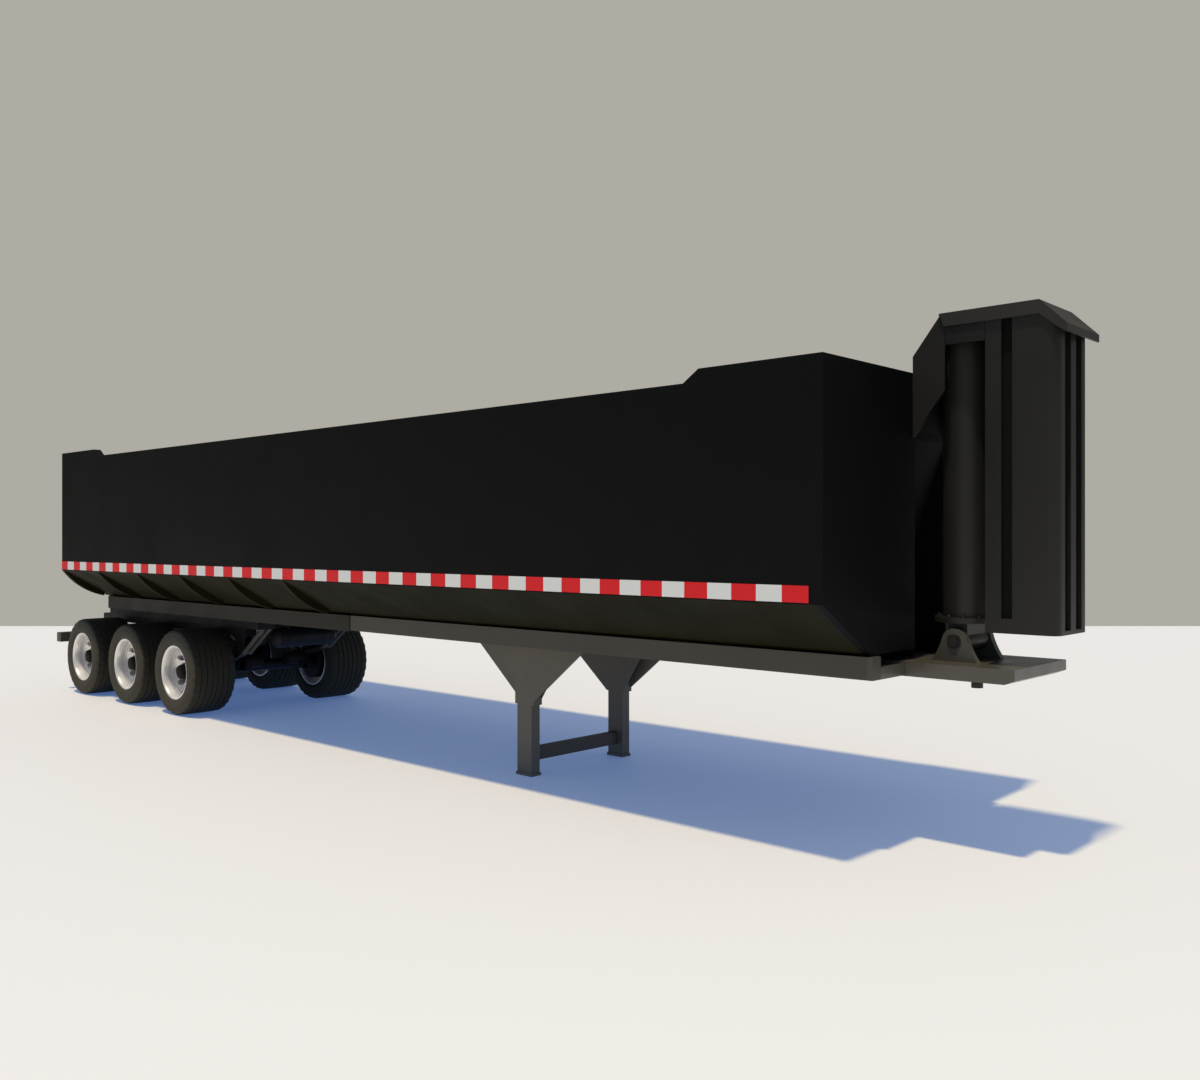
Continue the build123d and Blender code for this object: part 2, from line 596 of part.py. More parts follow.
def wheels():
    bore = SPINDLE_RADIUS + PIN_CLEARANCE
    bore_end = SPINDLE_END_Y + SPINDLE_END_GAP
    drum_y = HUB_FACE_Y - HUB_FLANGE_DEPTH
    flange_y = HUB_FACE_Y - DISC_THICKNESS
    hub_outline = [(DRUM_INNER_Y, bore), (DRUM_INNER_Y, DRUM_RADIUS), (drum_y, DRUM_RADIUS),
                   (drum_y, HUB_FLANGE_RADIUS), (flange_y, HUB_FLANGE_RADIUS), (flange_y, HUB_RADIUS),
                   (HUB_NOSE_Y - HUB_CHAMFER, HUB_RADIUS), (HUB_NOSE_Y, HUB_RADIUS - HUB_CHAMFER),
                   (HUB_NOSE_Y, 0), (bore_end, 0), (bore_end, bore)]
    for number, x in enumerate(AXLE_X, 1):
        carcass = tyre(x, HUB_FACE_Y)
        wheel = rim(x, HUB_FACE_Y) + revolve_y(hub_outline, x)
        for side, tyre_solid, wheel_solid in zip(("left", "right"), both_sides(carcass), both_sides(wheel)):
            keep(f"tyres_{side}_{number}", tyre_solid)
            keep(f"wheel_{side}_{number}", wheel_solid)


def landing_gear():
    x0 = LEG_X - LEG_LENGTH_X / 2
    x1 = LEG_X + LEG_LENGTH_X / 2
    grow = LEG_SLEEVE_GROW
    leg = box(x0, x1, LEG_INNER_Y, LEG_OUTER_Y, FOOT_HEIGHT, LEG_SLEEVE_BOTTOM_Z)
    leg += box(x0 - FOOT_LAP, x1 + FOOT_LAP, LEG_INNER_Y - FOOT_LAP, LEG_OUTER_Y + FOOT_LAP, 0, FOOT_HEIGHT)
    sleeve = box(x0 - grow, x1 + grow, LEG_INNER_Y, LEG_OUTER_Y, LEG_SLEEVE_BOTTOM_Z, RAIL_BOTTOM_Z)
    keep("landing_legs", *both_sides(leg + sleeve))
    y0 = LEG_OUTER_Y - GUSSET_THICKNESS
    rear_x = x0 - grow
    front_x = x1 + grow
    rear = side_plate([(rear_x, REAR_GUSSET_Z), (rear_x, RAIL_BOTTOM_Z),
                       (rear_x - REAR_GUSSET, RAIL_BOTTOM_Z)], y0, LEG_OUTER_Y)
    front = side_plate([(front_x, FRONT_GUSSET_Z), (front_x + FRONT_GUSSET, RAIL_BOTTOM_Z),
                        (front_x, RAIL_BOTTOM_Z)], y0, LEG_OUTER_Y)
    keep("leg_gussets", *both_sides(rear), *both_sides(front))
    mount = box(rear_x - REAR_GUSSET, front_x + FRONT_GUSSET, LEG_INNER_Y, RAIL_INNER_Y,
                RAIL_BOTTOM_Z, RAIL_BOTTOM_Z + SHEET)
    keep("leg_mounts", *both_sides(mount))
    keep("leg_brace", box(LEG_X - LEG_BRACE_HALF_LENGTH, LEG_X + LEG_BRACE_HALF_LENGTH, -LEG_INNER_Y,
                          LEG_INNER_Y, LEG_BRACE_Z, LEG_BRACE_Z + LEG_BRACE_HEIGHT))


def coupler():
    outline = [(PLATE_REAR_X, PLATE_BOTTOM_Z), (PLATE_FRONT_X - PLATE_NOSE, PLATE_BOTTOM_Z),
               (PLATE_FRONT_X, PLATE_BOTTOM_Z + PLATE_NOSE_RISE), (PLATE_FRONT_X, PLATE_TOP_Z),
               (PLATE_REAR_X, PLATE_TOP_Z)]
    keep("coupler_plate", side_plate(outline, -PLATE_HALF_WIDTH, PLATE_HALF_WIDTH))
    arm = box(PLATE_REAR_X, RAIL_FRONT_X, PLATE_HALF_WIDTH, RAIL_INNER_Y, RAIL_BOTTOM_Z,
              RAIL_BOTTOM_Z + WING_HEIGHT)
    keep("coupler_wings", *both_sides(arm))
    collar_z = PLATE_BOTTOM_Z - KINGPIN_COLLAR
    neck_z = collar_z - KINGPIN_NECK
    pin = rod_z(KINGPIN_X, 0, KINGPIN_COLLAR_RADIUS, collar_z, PLATE_BOTTOM_Z)
    pin += rod_z(KINGPIN_X, 0, KINGPIN_NECK_RADIUS, neck_z, collar_z)
    pin += rod_z(KINGPIN_X, 0, KINGPIN_HEAD_RADIUS, neck_z - KINGPIN_HEAD, neck_z)
    keep("kingpin", pin)


def pedestal():
    # Clevis with two bell-shaped ears that carry the hoist's lower pin
    z0 = PLATE_TOP_Z
    shoulder_z = HOIST_PIN_Z + EAR_SHOULDER_RISE
    shoulder_x = sqrt(EAR_TOP_RADIUS**2 - EAR_SHOULDER_RISE**2)
    base = EAR_BASE_HALF
    y = -EAR_INNER_Y - EAR_THICKNESS
    left = [(HOIST_X - base, y, z0), (HOIST_X - EAR_WAIST_HALF, y, z0 + EAR_WAIST_RISE),
            (HOIST_X - shoulder_x, y, shoulder_z)]
    right = [(2 * HOIST_X - px, py, pz) for px, py, pz in left]
    top = (HOIST_X, y, HOIST_PIN_Z + EAR_TOP_RADIUS)
    edges = [ThreePointArc(*left), ThreePointArc(left[2], top, right[2]), ThreePointArc(*right[::-1]),
             Line(right[0], left[0])]
    ear = extrude(make_face(edges), amount=EAR_THICKNESS, dir=(0, 1, 0))
    pin = rod_y(HOIST_X, HOIST_PIN_Z, HOIST_PIN_RADIUS, -EAR_INNER_Y, EAR_INNER_Y)
    clevis = ear + mirror(ear, about=Plane.XZ) + pin
    keep("hoist_pedestal", clevis)


def hoist():
    lug_y = EAR_INNER_Y - EAR_SIDE_GAP
    base = rod_y(HOIST_X, HOIST_PIN_Z, LUG_RADIUS, -lug_y, lug_y)
    base += box(HOIST_X - LUG_HALF_LENGTH, HOIST_X + LUG_HALF_LENGTH, -lug_y, lug_y, HOIST_PIN_Z,
                HOIST_FLANGE_Z)
    base -= rod_y(HOIST_X, HOIST_PIN_Z, HOIST_PIN_RADIUS + PIN_CLEARANCE, -EAR_INNER_Y, EAR_INNER_Y)
    flange_top = HOIST_FLANGE_Z + HOIST_FLANGE_THICKNESS
    barrel = rod_z(HOIST_X, 0, BARREL_RADIUS, flange_top, BARREL_TOP_Z)
    barrel -= rod_z(HOIST_X, 0, BARREL_RADIUS - BARREL_WALL, flange_top + BARREL_WALL, BARREL_TOP_Z)
    barrel += rod_z(HOIST_X, 0, HOIST_FLANGE_RADIUS, HOIST_FLANGE_Z, flange_top)
    gland_z = BARREL_TOP_Z - GLAND_HEIGHT
    gland = rod_z(HOIST_X, 0, BARREL_RADIUS, gland_z, BARREL_TOP_Z)
    gland -= rod_z(HOIST_X, 0, STAGE_RADII[0] + GLAND_CLEARANCE, gland_z, BARREL_TOP_Z)
    keep("hoist_barrel", base + barrel + gland)
    bottom = flange_top + BARREL_WALL + STAGE_STEP
    for number, radius in enumerate(STAGE_RADII, 1):
        z0 = bottom + (number - 1) * (STAGE_WALL + STAGE_STEP)
        z1 = BARREL_TOP_Z + number * STAGE_STEP
        if number < len(STAGE_RADII):
            tube = rod_z(HOIST_X, 0, radius, z0, z1)
            tube -= rod_z(HOIST_X, 0, radius - STAGE_WALL, z0 + STAGE_WALL, z1)
            ring = rod_z(HOIST_X, 0, radius, z1 - GLAND_HEIGHT, z1)
            ring -= rod_z(HOIST_X, 0, STAGE_RADII[number] + GLAND_CLEARANCE, z1 - GLAND_HEIGHT, z1)
            keep(f"hoist_stage_{number}", tube + ring)
        else:
            rod = rod_z(HOIST_X, 0, radius, z0, HOIST_EYE_Z)
            rod += rod_y(HOIST_X, HOIST_EYE_Z, ROD_EYE_RADIUS, -ROD_EYE_HALF_WIDTH, ROD_EYE_HALF_WIDTH)
            rod += rod_y(HOIST_X, HOIST_EYE_Z, ROD_PIN_RADIUS, -ROD_PIN_HALF_LENGTH, ROD_PIN_HALF_LENGTH)
            keep("hoist_rod", rod)


def front_structure():
    front_x = TUB_LENGTH
    top_x = front_x + CHEEK_TOP_SET
    y0 = CHEEK_OUTER_Y - CHEEK_THICKNESS
    cheek_front = front_x + CHEEK_LENGTH
    lower_z = CHEEK_BOTTOM_Z + CHEEK_LENGTH * CHEEK_SLOPE
    top_z = CAP_TOP_Z - SHEET
    under_cap = (top_x - CHEEK_TOP_CUT, top_z)
    cheek = side_plate([(front_x, CHEEK_BOTTOM_Z), (cheek_front, lower_z), (cheek_front, CAP_SKIRT_Z),
                        (GUARD_REAR_X, CAP_SKIRT_Z), (GUARD_REAR_X, top_z), under_cap,
                        (front_x, CHEEK_BACK_Z)], y0, CHEEK_OUTER_Y)
    # Hook that bears on the pin's back and top, open to the front where the eye leaves it
    saddle = box(HOIST_X - SADDLE_BACK, HOIST_X + SADDLE_FRONT, y0 - SADDLE_WIDTH, y0, HOIST_EYE_Z, top_z)
    saddle -= rod_y(HOIST_X, HOIST_EYE_Z, ROD_PIN_RADIUS + SADDLE_CLEARANCE, y0 - SADDLE_WIDTH, y0)
    # Sloped plate that joins the cheeks and closes the bracket's back
    bracket = side_plate([(front_x, CHEEK_BACK_Z), (front_x + BACK_DEPTH, CHEEK_BACK_Z),
                          (under_cap[0] + BACK_DEPTH, top_z), under_cap], -y0, y0)
    for piece in both_sides(cheek) + both_sides(saddle):
        bracket += piece
    keep("hoist_bracket", bracket)
    slope = (CAP_TOP_Z - CAP_LIP_TOP_Z) / (CAP_LIP_X - CAP_SLOPE_X)
    slope_x = CAP_SLOPE_X - SHEET / 2
    lip_x = CAP_LIP_X - SHEET
    outline = [under_cap, (top_x, CAP_TOP_Z), (CAP_SLOPE_X, CAP_TOP_Z), (CAP_LIP_X, CAP_LIP_TOP_Z),
               (CAP_LIP_X, CAP_LIP_BOTTOM_Z), (lip_x, CAP_LIP_BOTTOM_Z),
               (lip_x, top_z - (lip_x - slope_x) * slope), (slope_x, top_z)]
    cap = side_plate(outline, -CAP_HALF_WIDTH, CAP_HALF_WIDTH)
    skirt = side_plate([(cheek_front, CAP_SKIRT_Z), (CAP_SLOPE_X, CAP_SKIRT_Z),
                        (GUARD_FRONT_X, CAP_LIP_TOP_Z - SHEET), (lip_x, CAP_LIP_BOTTOM_Z), *outline[4:0:-1]],
                       CHEEK_OUTER_Y, CAP_HALF_WIDTH)
    for piece in both_sides(skirt):
        cap += piece
    keep("hoist_cap", cap)
    guard_front_z = top_z - (GUARD_FRONT_X - slope_x) * slope
    guard([(GUARD_FRONT_X, guard_front_z), (slope_x, top_z), (GUARD_REAR_X, top_z)])


def guard(underside):
    # U-shaped guard in front of the hoist, open at its back and hung from the cap's underside, with
    # rounded corner posts and grooves between its strips
    half = CHEEK_OUTER_Y
    x0 = GUARD_REAR_X
    x1 = GUARD_FRONT_X
    corner_x = x1 - GUARD_CORNER_RADIUS
    corner_y = half - GUARD_CORNER_RADIUS
    height = CAP_TOP_Z - GUARD_BOTTOM_Z
    plan = box(x0, corner_x, -half, half, GUARD_BOTTOM_Z, CAP_TOP_Z)
    plan += box(corner_x, x1, -corner_y, corner_y, GUARD_BOTTOM_Z, CAP_TOP_Z)
    for y in (-corner_y, corner_y):
        plan += Pos(corner_x, y, GUARD_BOTTOM_Z + height / 2) * Cylinder(GUARD_CORNER_RADIUS, height)
    outline = [(x0, GUARD_BOTTOM_Z), (x1, GUARD_BOTTOM_Z), *underside]
    body = plan & side_plate(outline, -half, half)
    body -= box(x0, x1 - GUARD_WALL, GUARD_WALL - half, half - GUARD_WALL, GUARD_BOTTOM_Z, CAP_TOP_Z)
    side_cut = box(x0 + SIDE_GROOVE[0], x0 + SIDE_GROOVE[1], -half, SIDE_GROOVE_DEPTH - half,
                   SIDE_GROOVE_Z, CAP_TOP_Z)
    front_cut = box(x1 - FRONT_GROOVE_DEPTH, x1, -FRONT_GROOVE[1], -FRONT_GROOVE[0],
                    FRONT_GROOVE_Z, CAP_TOP_Z)
    for cut in both_sides(side_cut) + both_sides(front_cut):
        body -= cut
    keep("hoist_guard", body)


def rear_end():
    x0 = BUMPER_REAR_X
    x1 = x0 + BUMPER_DEPTH
    z1 = BUMPER_BOTTOM_Z + BUMPER_HEIGHT
    bumper = box(x0, x1, -BUMPER_HALF_WIDTH, BUMPER_HALF_WIDTH, BUMPER_BOTTOM_Z, z1)
    arm_y = SUSPENSION_BEAM_INNER_Y + LOWER_BEAM_WIDTH
    beam_x = LOWER_BEAM_REAR_X
    beam_z = LOWER_BEAM_BOTTOM_Z
    arm = side_plate([(x0, z1), (x1, z1), (beam_x + BUMPER_ARM_TOP, beam_z), (beam_x, beam_z)],
                     arm_y - BUMPER_ARM_THICKNESS, arm_y)
    for piece in both_sides(arm):
        bumper += piece
    keep("rear_bumper", bumper)
    lamps = []
    zc = BUMPER_BOTTOM_Z + BUMPER_HEIGHT / 2
    for y in LAMP_Y:
        lamp = Plane((x0 - LAMP_PROUD, y, zc), z_dir=(1, 0, 0)) * Circle(LAMP_SIZE / 2)
        lamps += both_sides(extrude(lamp, amount=LAMP_PROUD, dir=(1, 0, 0)))
    keep("tail_lamps", *lamps)


tub()
slope_ribs()
tape()
tailgate()
frame_rails()
crossmembers()
bed_hinge()
suspension()
axles()
wheels()
landing_gear()
coupler()
pedestal()
hoist()
front_structure()
rear_end()

os.makedirs("parts", exist_ok=True)
for name, shape in nodes.items():
    export_step(Pos(X_SHIFT, 0, 0) * shape, f"parts/{name}.step")
    print(name, len(shape.solids()), round(shape.volume / 1e6, 2))
print("bed hinge", HINGE_X + X_SHIFT, HINGE_Z, "hoist", HOIST_X + X_SHIFT, "shift", X_SHIFT)
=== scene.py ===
import math

import bmesh
import bpy
from mathutils import Matrix, Vector


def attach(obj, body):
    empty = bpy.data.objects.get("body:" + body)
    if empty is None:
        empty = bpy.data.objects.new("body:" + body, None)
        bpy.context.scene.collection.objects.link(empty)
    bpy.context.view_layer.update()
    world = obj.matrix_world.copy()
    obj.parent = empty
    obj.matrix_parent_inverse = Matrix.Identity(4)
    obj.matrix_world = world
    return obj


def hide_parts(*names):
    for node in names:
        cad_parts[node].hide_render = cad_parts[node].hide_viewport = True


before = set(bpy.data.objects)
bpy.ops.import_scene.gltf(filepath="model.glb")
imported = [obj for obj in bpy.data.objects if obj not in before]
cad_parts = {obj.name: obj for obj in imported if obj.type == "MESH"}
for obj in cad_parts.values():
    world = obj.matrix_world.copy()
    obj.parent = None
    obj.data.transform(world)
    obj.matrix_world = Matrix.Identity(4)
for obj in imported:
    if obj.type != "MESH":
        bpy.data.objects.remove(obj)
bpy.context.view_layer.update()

# Stations in the source run forward from the tub's rear edge; this moves them to the row frame, in metres
STATION_SHIFT = -5.423
AXLE_STATIONS = (0.060, 1.250, 2.440)
AXLE_Z = 0.458
TYRE_RADIUS = 0.458
WHEEL_Y = 0.843
SIDES = (1, -1)


def station(x):
    return x + STATION_SHIFT


HOIST_X = station(10.812)


# Colours and materials


def linear(code):
    # sRGB hex to linear RGBA
    parts = [int(code[i:i + 2], 16) / 255 for i in (1, 3, 5)]
    return [c / 12.92 if c <= 0.04045 else ((c + 0.055) / 1.055) ** 2.4 for c in parts] + [1.0]


def add(tree, kind, inputs=None, **settings):
    # One node with its settings and its inputs, where a value is a number or another node's output
    node = tree.nodes.new(kind)
    for key, value in settings.items():
        setattr(node, key, value)
    for key, value in (inputs or {}).items():
        if isinstance(value, bpy.types.NodeSocket):
            tree.links.new(value, node.inputs[key])
        else:
            node.inputs[key].default_value = value
    return node


def surface(name, colour, rough, metallic=0.0, specular=0.5, coat=0.0, rough_spread=0.0, patch_mm=400,
            grain_mm=0.0, grain_height_mm=0.0, wave_mm=0.0, wave_height_mm=0.0, tint=None, tint_share=0.0,
            beyond=None, glow=None):
    # A Principled material with worn patches in its roughness and colour, fine grain and slow sheet waves.
    # beyond is an axis, a distance along it in metres, and the colour that is painted further out.
    # glow is a faint light of its own.
    made = bpy.data.materials.new(name)
    made.use_nodes = True
    tree = made.node_tree
    tree.nodes.clear()
    coords = add(tree, "ShaderNodeTexCoord").outputs["Object"]
    shader = add(tree, "ShaderNodeBsdfPrincipled", {
        "Base Color": linear(colour), "Roughness": rough, "Metallic": metallic,
        "Specular IOR Level": specular, "Coat Weight": coat, "Coat Roughness": 0.2})
    if glow:
        shader.inputs["Emission Color"].default_value = linear(glow)
        shader.inputs["Emission Strength"].default_value = 1.0
    share, second_colour = None, tint
    if beyond:
        axis, limit, second_colour = beyond
        place = add(tree, "ShaderNodeSeparateXYZ", {"Vector": coords})
        far = add(tree, "ShaderNodeMath", {0: place.outputs[axis]}, operation="ABSOLUTE")
        past = add(tree, "ShaderNodeMath", {0: far.outputs[0], 1: limit}, operation="GREATER_THAN")
        share = past.outputs[0]
        if metallic:
            for socket, bare, beyond_value in (("Metallic", metallic, 0.0), ("Roughness", rough, 0.5)):
                blend = add(tree, "ShaderNodeMapRange", {"Value": share, "To Min": bare, "To Max": beyond_value})
                tree.links.new(blend.outputs["Result"], shader.inputs[socket])
    elif rough_spread or tint:
        patches = add(tree, "ShaderNodeTexNoise", {"Vector": coords, "Scale": 1000 / patch_mm, "Detail": 5.0,
                                                   "Roughness": 0.6})
        if rough_spread:
            spread = add(tree, "ShaderNodeMapRange", {
                "Value": patches.outputs["Fac"], "From Min": 0.3, "From Max": 0.7,
                "To Min": rough - rough_spread, "To Max": rough + rough_spread})
            tree.links.new(spread.outputs["Result"], shader.inputs["Roughness"])
        if tint:
            share = add(tree, "ShaderNodeMapRange", {
                "Value": patches.outputs["Fac"], "From Min": 0.35, "From Max": 0.7,
                "To Min": 0.0, "To Max": tint_share}).outputs["Result"]
    if share:
        mixed = add(tree, "ShaderNodeMix", {"Factor": share, 6: linear(colour), 7: linear(second_colour)},
                    data_type="RGBA")
        tree.links.new(mixed.outputs[2], shader.inputs["Base Color"])
    normal = None
    for size, height in ((wave_mm, wave_height_mm), (grain_mm, grain_height_mm)):
        if size:
            noise = add(tree, "ShaderNodeTexNoise", {"Vector": coords, "Scale": 1000 / size, "Detail": 2.0})
            bump = add(tree, "ShaderNodeBump", {"Height": noise.outputs["Fac"], "Strength": 1.0,
                                                "Distance": height / 1000})
            if normal:
                tree.links.new(normal, bump.inputs["Normal"])
            normal = bump.outputs["Normal"]
    if normal:
        tree.links.new(normal, shader.inputs["Normal"])
    out = add(tree, "ShaderNodeOutputMaterial")
    tree.links.new(shader.outputs["BSDF"], out.inputs["Surface"])
    return made


# Where one piece changes its colour: the cheeks' inner faces, the gland rings and the rod's eye are dark as
# painted shade, and the outer sidewalls are paler as painted sunlight
CHEEK_INNER_Y = 0.2385
GLAND_RING_Z = 3.048
ROD_EYE_Z = 3.128
LIT_SIDEWALL_Y = 1.066
GLAND_SHADE_COLOUR = "#24221f"

# Satin black two-pack paint on rolled steel sheet: nearly black, with the sheet's slow waves in its sheen
TUB_PAINT = surface("satin black paint on sheet steel", "#0a0b0d", 0.58, specular=0.12, rough_spread=0.08,
                    patch_mm=700, grain_mm=3, grain_height_mm=0.02, wave_mm=900, wave_height_mm=3.0)
# Textured coating on the bottom and its slopes: dull and pebbled, olive and warmer than the paint above as
# painted bounce light from the floor
SLOPE_BOUNCE_PAINT = surface("textured coating with painted floor bounce", "#211f0a", 0.7, specular=0.12, rough_spread=0.1,
                      patch_mm=500, grain_mm=5, grain_height_mm=0.15, tint="#181708", tint_share=0.7)


def chassis_paint(name, colour, tint, specular=0.4, rough=0.5):
    # Satin grey-brown chassis paint on welded box sections: soft highlights with faint patches
    return surface(name, colour, rough, specular=specular, rough_spread=0.08, patch_mm=300, grain_mm=4,
                   grain_height_mm=0.03, tint=tint, tint_share=0.6)


FRAME_PAINT = chassis_paint("satin chassis paint", "#47433a", "#565244")
# The legs' copy of the chassis paint is lighter, as painted sunlight on their faces
LEG_PAINT_LIGHTENED = chassis_paint("satin chassis paint lightened on the legs as painted light", "#5f5a4f", "#6d6759")
# The coupler's copy of the chassis paint is lighter, as painted light on its faces
PLATE_PAINT_LIGHTENED = chassis_paint("satin chassis paint on the coupler", "#4e4a40", "#5b564a", specular=0.6,
                            rough=0.3)
# The rear boxes' copy of the chassis paint is darker, as painted shade
BOX_PAINT_DARKENED = chassis_paint("dull chassis paint on the rear boxes", "#2c2a22", "#34312a", specular=0.2)
# Dark grey enamel on the hoist's barrel, guard and cap: a little glossier than the tub, gently waved; the
# guard's copy is darker as painted shade and the cap's copy lighter as painted light
HOIST_PAINT = surface("dark grey enamel", "#25241e", 0.45, specular=0.45, rough_spread=0.07, patch_mm=350,
                      grain_mm=3, grain_height_mm=0.02, wave_mm=500, wave_height_mm=0.8)
GUARD_PAINT_DARKENED = surface("dark grey enamel darkened on the guard as painted shade", "#201f1a", 0.45, specular=0.42, rough_spread=0.07,
                      patch_mm=400, grain_mm=3, grain_height_mm=0.02, wave_mm=500, wave_height_mm=0.8)
# The cap's copy of the enamel is lighter, as painted light on its top
CAP_PAINT_LIGHTENED = surface("dark grey enamel lightened on the cap as painted light", "#2e2c28", 0.45, specular=0.45, rough_spread=0.07,
                    patch_mm=350, grain_mm=3, grain_height_mm=0.02)
# The bracket's cheeks, black on their inner faces as painted shade, and the recess that the hoist swings
# into, black as painted shade: flat and dark, so that depth shows
BRACKET_PAINT_SHADED_INSIDE = surface("dark grey enamel over black painted shade", "#0b0b0a", 0.6, specular=0.15,
                        beyond=("Y", CHEEK_INNER_Y, "#282622"))
RECESS_SHADE_PAINT = surface("black painted shade", "#10110f", 0.75, specular=0.12)
# Hard-chromed and ground cylinder stages and rod: sharp bright reflections, with the gland rings and the
# rod's eye dark grey and dull as painted shade under the cap
CHROME_STAGE = surface("hard chrome with painted shade on the gland rings", "#c9cbcd", 0.12, metallic=1.0,
                       beyond=("Z", GLAND_RING_Z, GLAND_SHADE_COLOUR))
CHROME_ROD = surface("hard chrome with painted shade on the eye", "#c9cbcd", 0.12, metallic=1.0,
                     beyond=("Z", ROD_EYE_Z, GLAND_SHADE_COLOUR))
# Black chassis enamel on the suspension, axles and crossmembers, near-black as painted shade under the bed:
# dark and slightly uneven
UNDER_PAINT_SHADED = surface("black chassis enamel as painted shade", "#0f1116", 0.55, specular=0.25, rough_spread=0.08, patch_mm=200,
                      grain_mm=3, grain_height_mm=0.04)
# Oiled spring and forging steel: dark metal with a dull oily shine
FORGED = surface("oiled forged steel", "#3c3a37", 0.42, metallic=0.7, rough_spread=0.1, patch_mm=60,
                 grain_mm=2, grain_height_mm=0.05)
# Zinc-plated fasteners: small pale bright heads
ZINC = surface("zinc plated fasteners", "#8d8c86", 0.35, metallic=0.9, rough_spread=0.1, patch_mm=30)
# Silver-white powder coat on pressed steel discs: pale, with soft broad highlights
RIM = surface("silver powder coat on pressed steel", "#f4f1ee", 0.34, metallic=0.5, specular=0.5,
              rough_spread=0.06, patch_mm=150)
# Cast brake drums and hubs: dark, rough and without shine
CAST = surface("painted grey iron casting", "#171614", 0.6, specular=0.15, rough_spread=0.1, patch_mm=60,
               grain_mm=3, grain_height_mm=0.15)
# Vulcanised tyre rubber: dull dark grey-brown, paler on its outer sidewalls as painted sunlight
RUBBER = surface("vulcanised tyre rubber", "#2f2d23", 0.78, specular=0.28, grain_mm=2, grain_height_mm=0.06,
                 beyond=("Y", LIT_SIDEWALL_Y, "#454136"))
# Prismatic retroreflective sheeting: strong flat colour under a thin clear layer with a fine grain
TAPE_RED = surface("red retroreflective sheeting", "#e2030b", 0.35, specular=0.4, coat=0.2, grain_mm=2.5,
                   grain_height_mm=0.08)
TAPE_WHITE = surface("white retroreflective sheeting", "#e6e4da", 0.35, specular=0.4, coat=0.2, grain_mm=2.5,
                     grain_height_mm=0.08)
# Moulded red lamp lens: deep red and glossy
LENS = surface("moulded red lens", "#8c0a0c", 0.15, specular=0.6, coat=0.5)

BY_NODE = {
    "tub_bottom": SLOPE_BOUNCE_PAINT, "slope_ribs": SLOPE_BOUNCE_PAINT, "doghouse": RECESS_SHADE_PAINT,
    "tape_red": TAPE_RED, "tape_white": TAPE_WHITE, "tail_lamps": LENS,
    "springs": FORGED, "kingpin": FORGED,
    "hoist_rod": CHROME_ROD, "hoist_barrel": HOIST_PAINT, "hoist_bracket": BRACKET_PAINT_SHADED_INSIDE,
    "hoist_cap": CAP_PAINT_LIGHTENED, "hoist_guard": GUARD_PAINT_DARKENED, "hoist_pedestal": PLATE_PAINT_LIGHTENED,
    "landing_legs": LEG_PAINT_LIGHTENED, "leg_gussets": LEG_PAINT_LIGHTENED,
    "coupler_plate": PLATE_PAINT_LIGHTENED, "coupler_wings": PLATE_PAINT_LIGHTENED, "rear_boxes": BOX_PAINT_DARKENED,
}
UNDER_NODES = ("suspension_beams", "spring_hangers", "spring_rockers", "spring_seats", "crossmembers",
               "axle_1", "axle_2", "axle_3")
TUB_NODES = ("tub_side_right", "tub_side_left", "top_rails", "tailgate_pins", "tub_front", "hinge_lugs",
             "tailgate")

for node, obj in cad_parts.items():
    if node in BY_NODE:
        chosen = BY_NODE[node]
    elif node.startswith("hoist_stage"):
        chosen = CHROME_STAGE
    elif node in UNDER_NODES:
        chosen = UNDER_PAINT_SHADED
    elif node in TUB_NODES:
        chosen = TUB_PAINT
    elif node.startswith("tyres"):
        chosen = RUBBER
    elif node.startswith("wheel"):
        chosen = RIM
    else:
        chosen = FRAME_PAINT
    obj.data.materials.clear()
    obj.data.materials.append(chosen)


# Mesh helpers

BEVEL, SMALL_BEVEL, FINE_BEVEL = 0.004, 0.003, 0.002
MERGE_WITHIN = 0.00001
# Sides of round bars, from thin to thick, and of nuts and bolt heads
THIN_BAR, BAR, THICK_BAR, HEXAGON = 10, 12, 14, 6
# Radii of a bolt's washer and head as shares of its size across flats, and the washer's thickness
WASHER_SHARE, HEAD_SHARE, WASHER = 0.72, 0.56, 0.003


def finish_mesh(name, bm, material, body, sharp_deg=35):
    # Turns a bmesh into an object that rides on a CAD body, smooth except over sharp edges
    bmesh.ops.recalc_face_normals(bm, faces=bm.faces)
    for edge in bm.edges:
        edge.smooth = edge.calc_face_angle(0.0) < math.radians(sharp_deg)
    for face in bm.faces:
        face.smooth = True
    mesh = bpy.data.meshes.new(name)
    bm.to_mesh(mesh)
    bm.free()
    obj = bpy.data.objects.new(name, mesh)
    bpy.context.scene.collection.objects.link(obj)
    mesh.materials.append(material)
    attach(obj, body)
    return obj


def add_box(bm, x0, x1, y0, y1, z0, z1, bevel=0.0):
    place = Matrix.Translation(((x0 + x1) / 2, (y0 + y1) / 2, (z0 + z1) / 2))
    size = Matrix.Diagonal((x1 - x0, y1 - y0, z1 - z0, 1))
    made = bmesh.ops.create_cube(bm, size=1, matrix=place @ size)
    if bevel:
        edges = list(dict.fromkeys(e for v in made["verts"] for e in v.link_edges))
        bmesh.ops.bevel(bm, geom=edges, offset=bevel, offset_type="OFFSET", affect="EDGES", segments=2,
                        profile=0.5, material=-1, clamp_overlap=True)


def add_side_box(bm, sign, x0, x1, inner, outer, z0, z1, bevel=0.0):
    # A box on one side, between its distances from the middle plane
    low, high = sorted((sign * inner, sign * outer))
    add_box(bm, x0, x1, low, high, z0, z1, bevel)


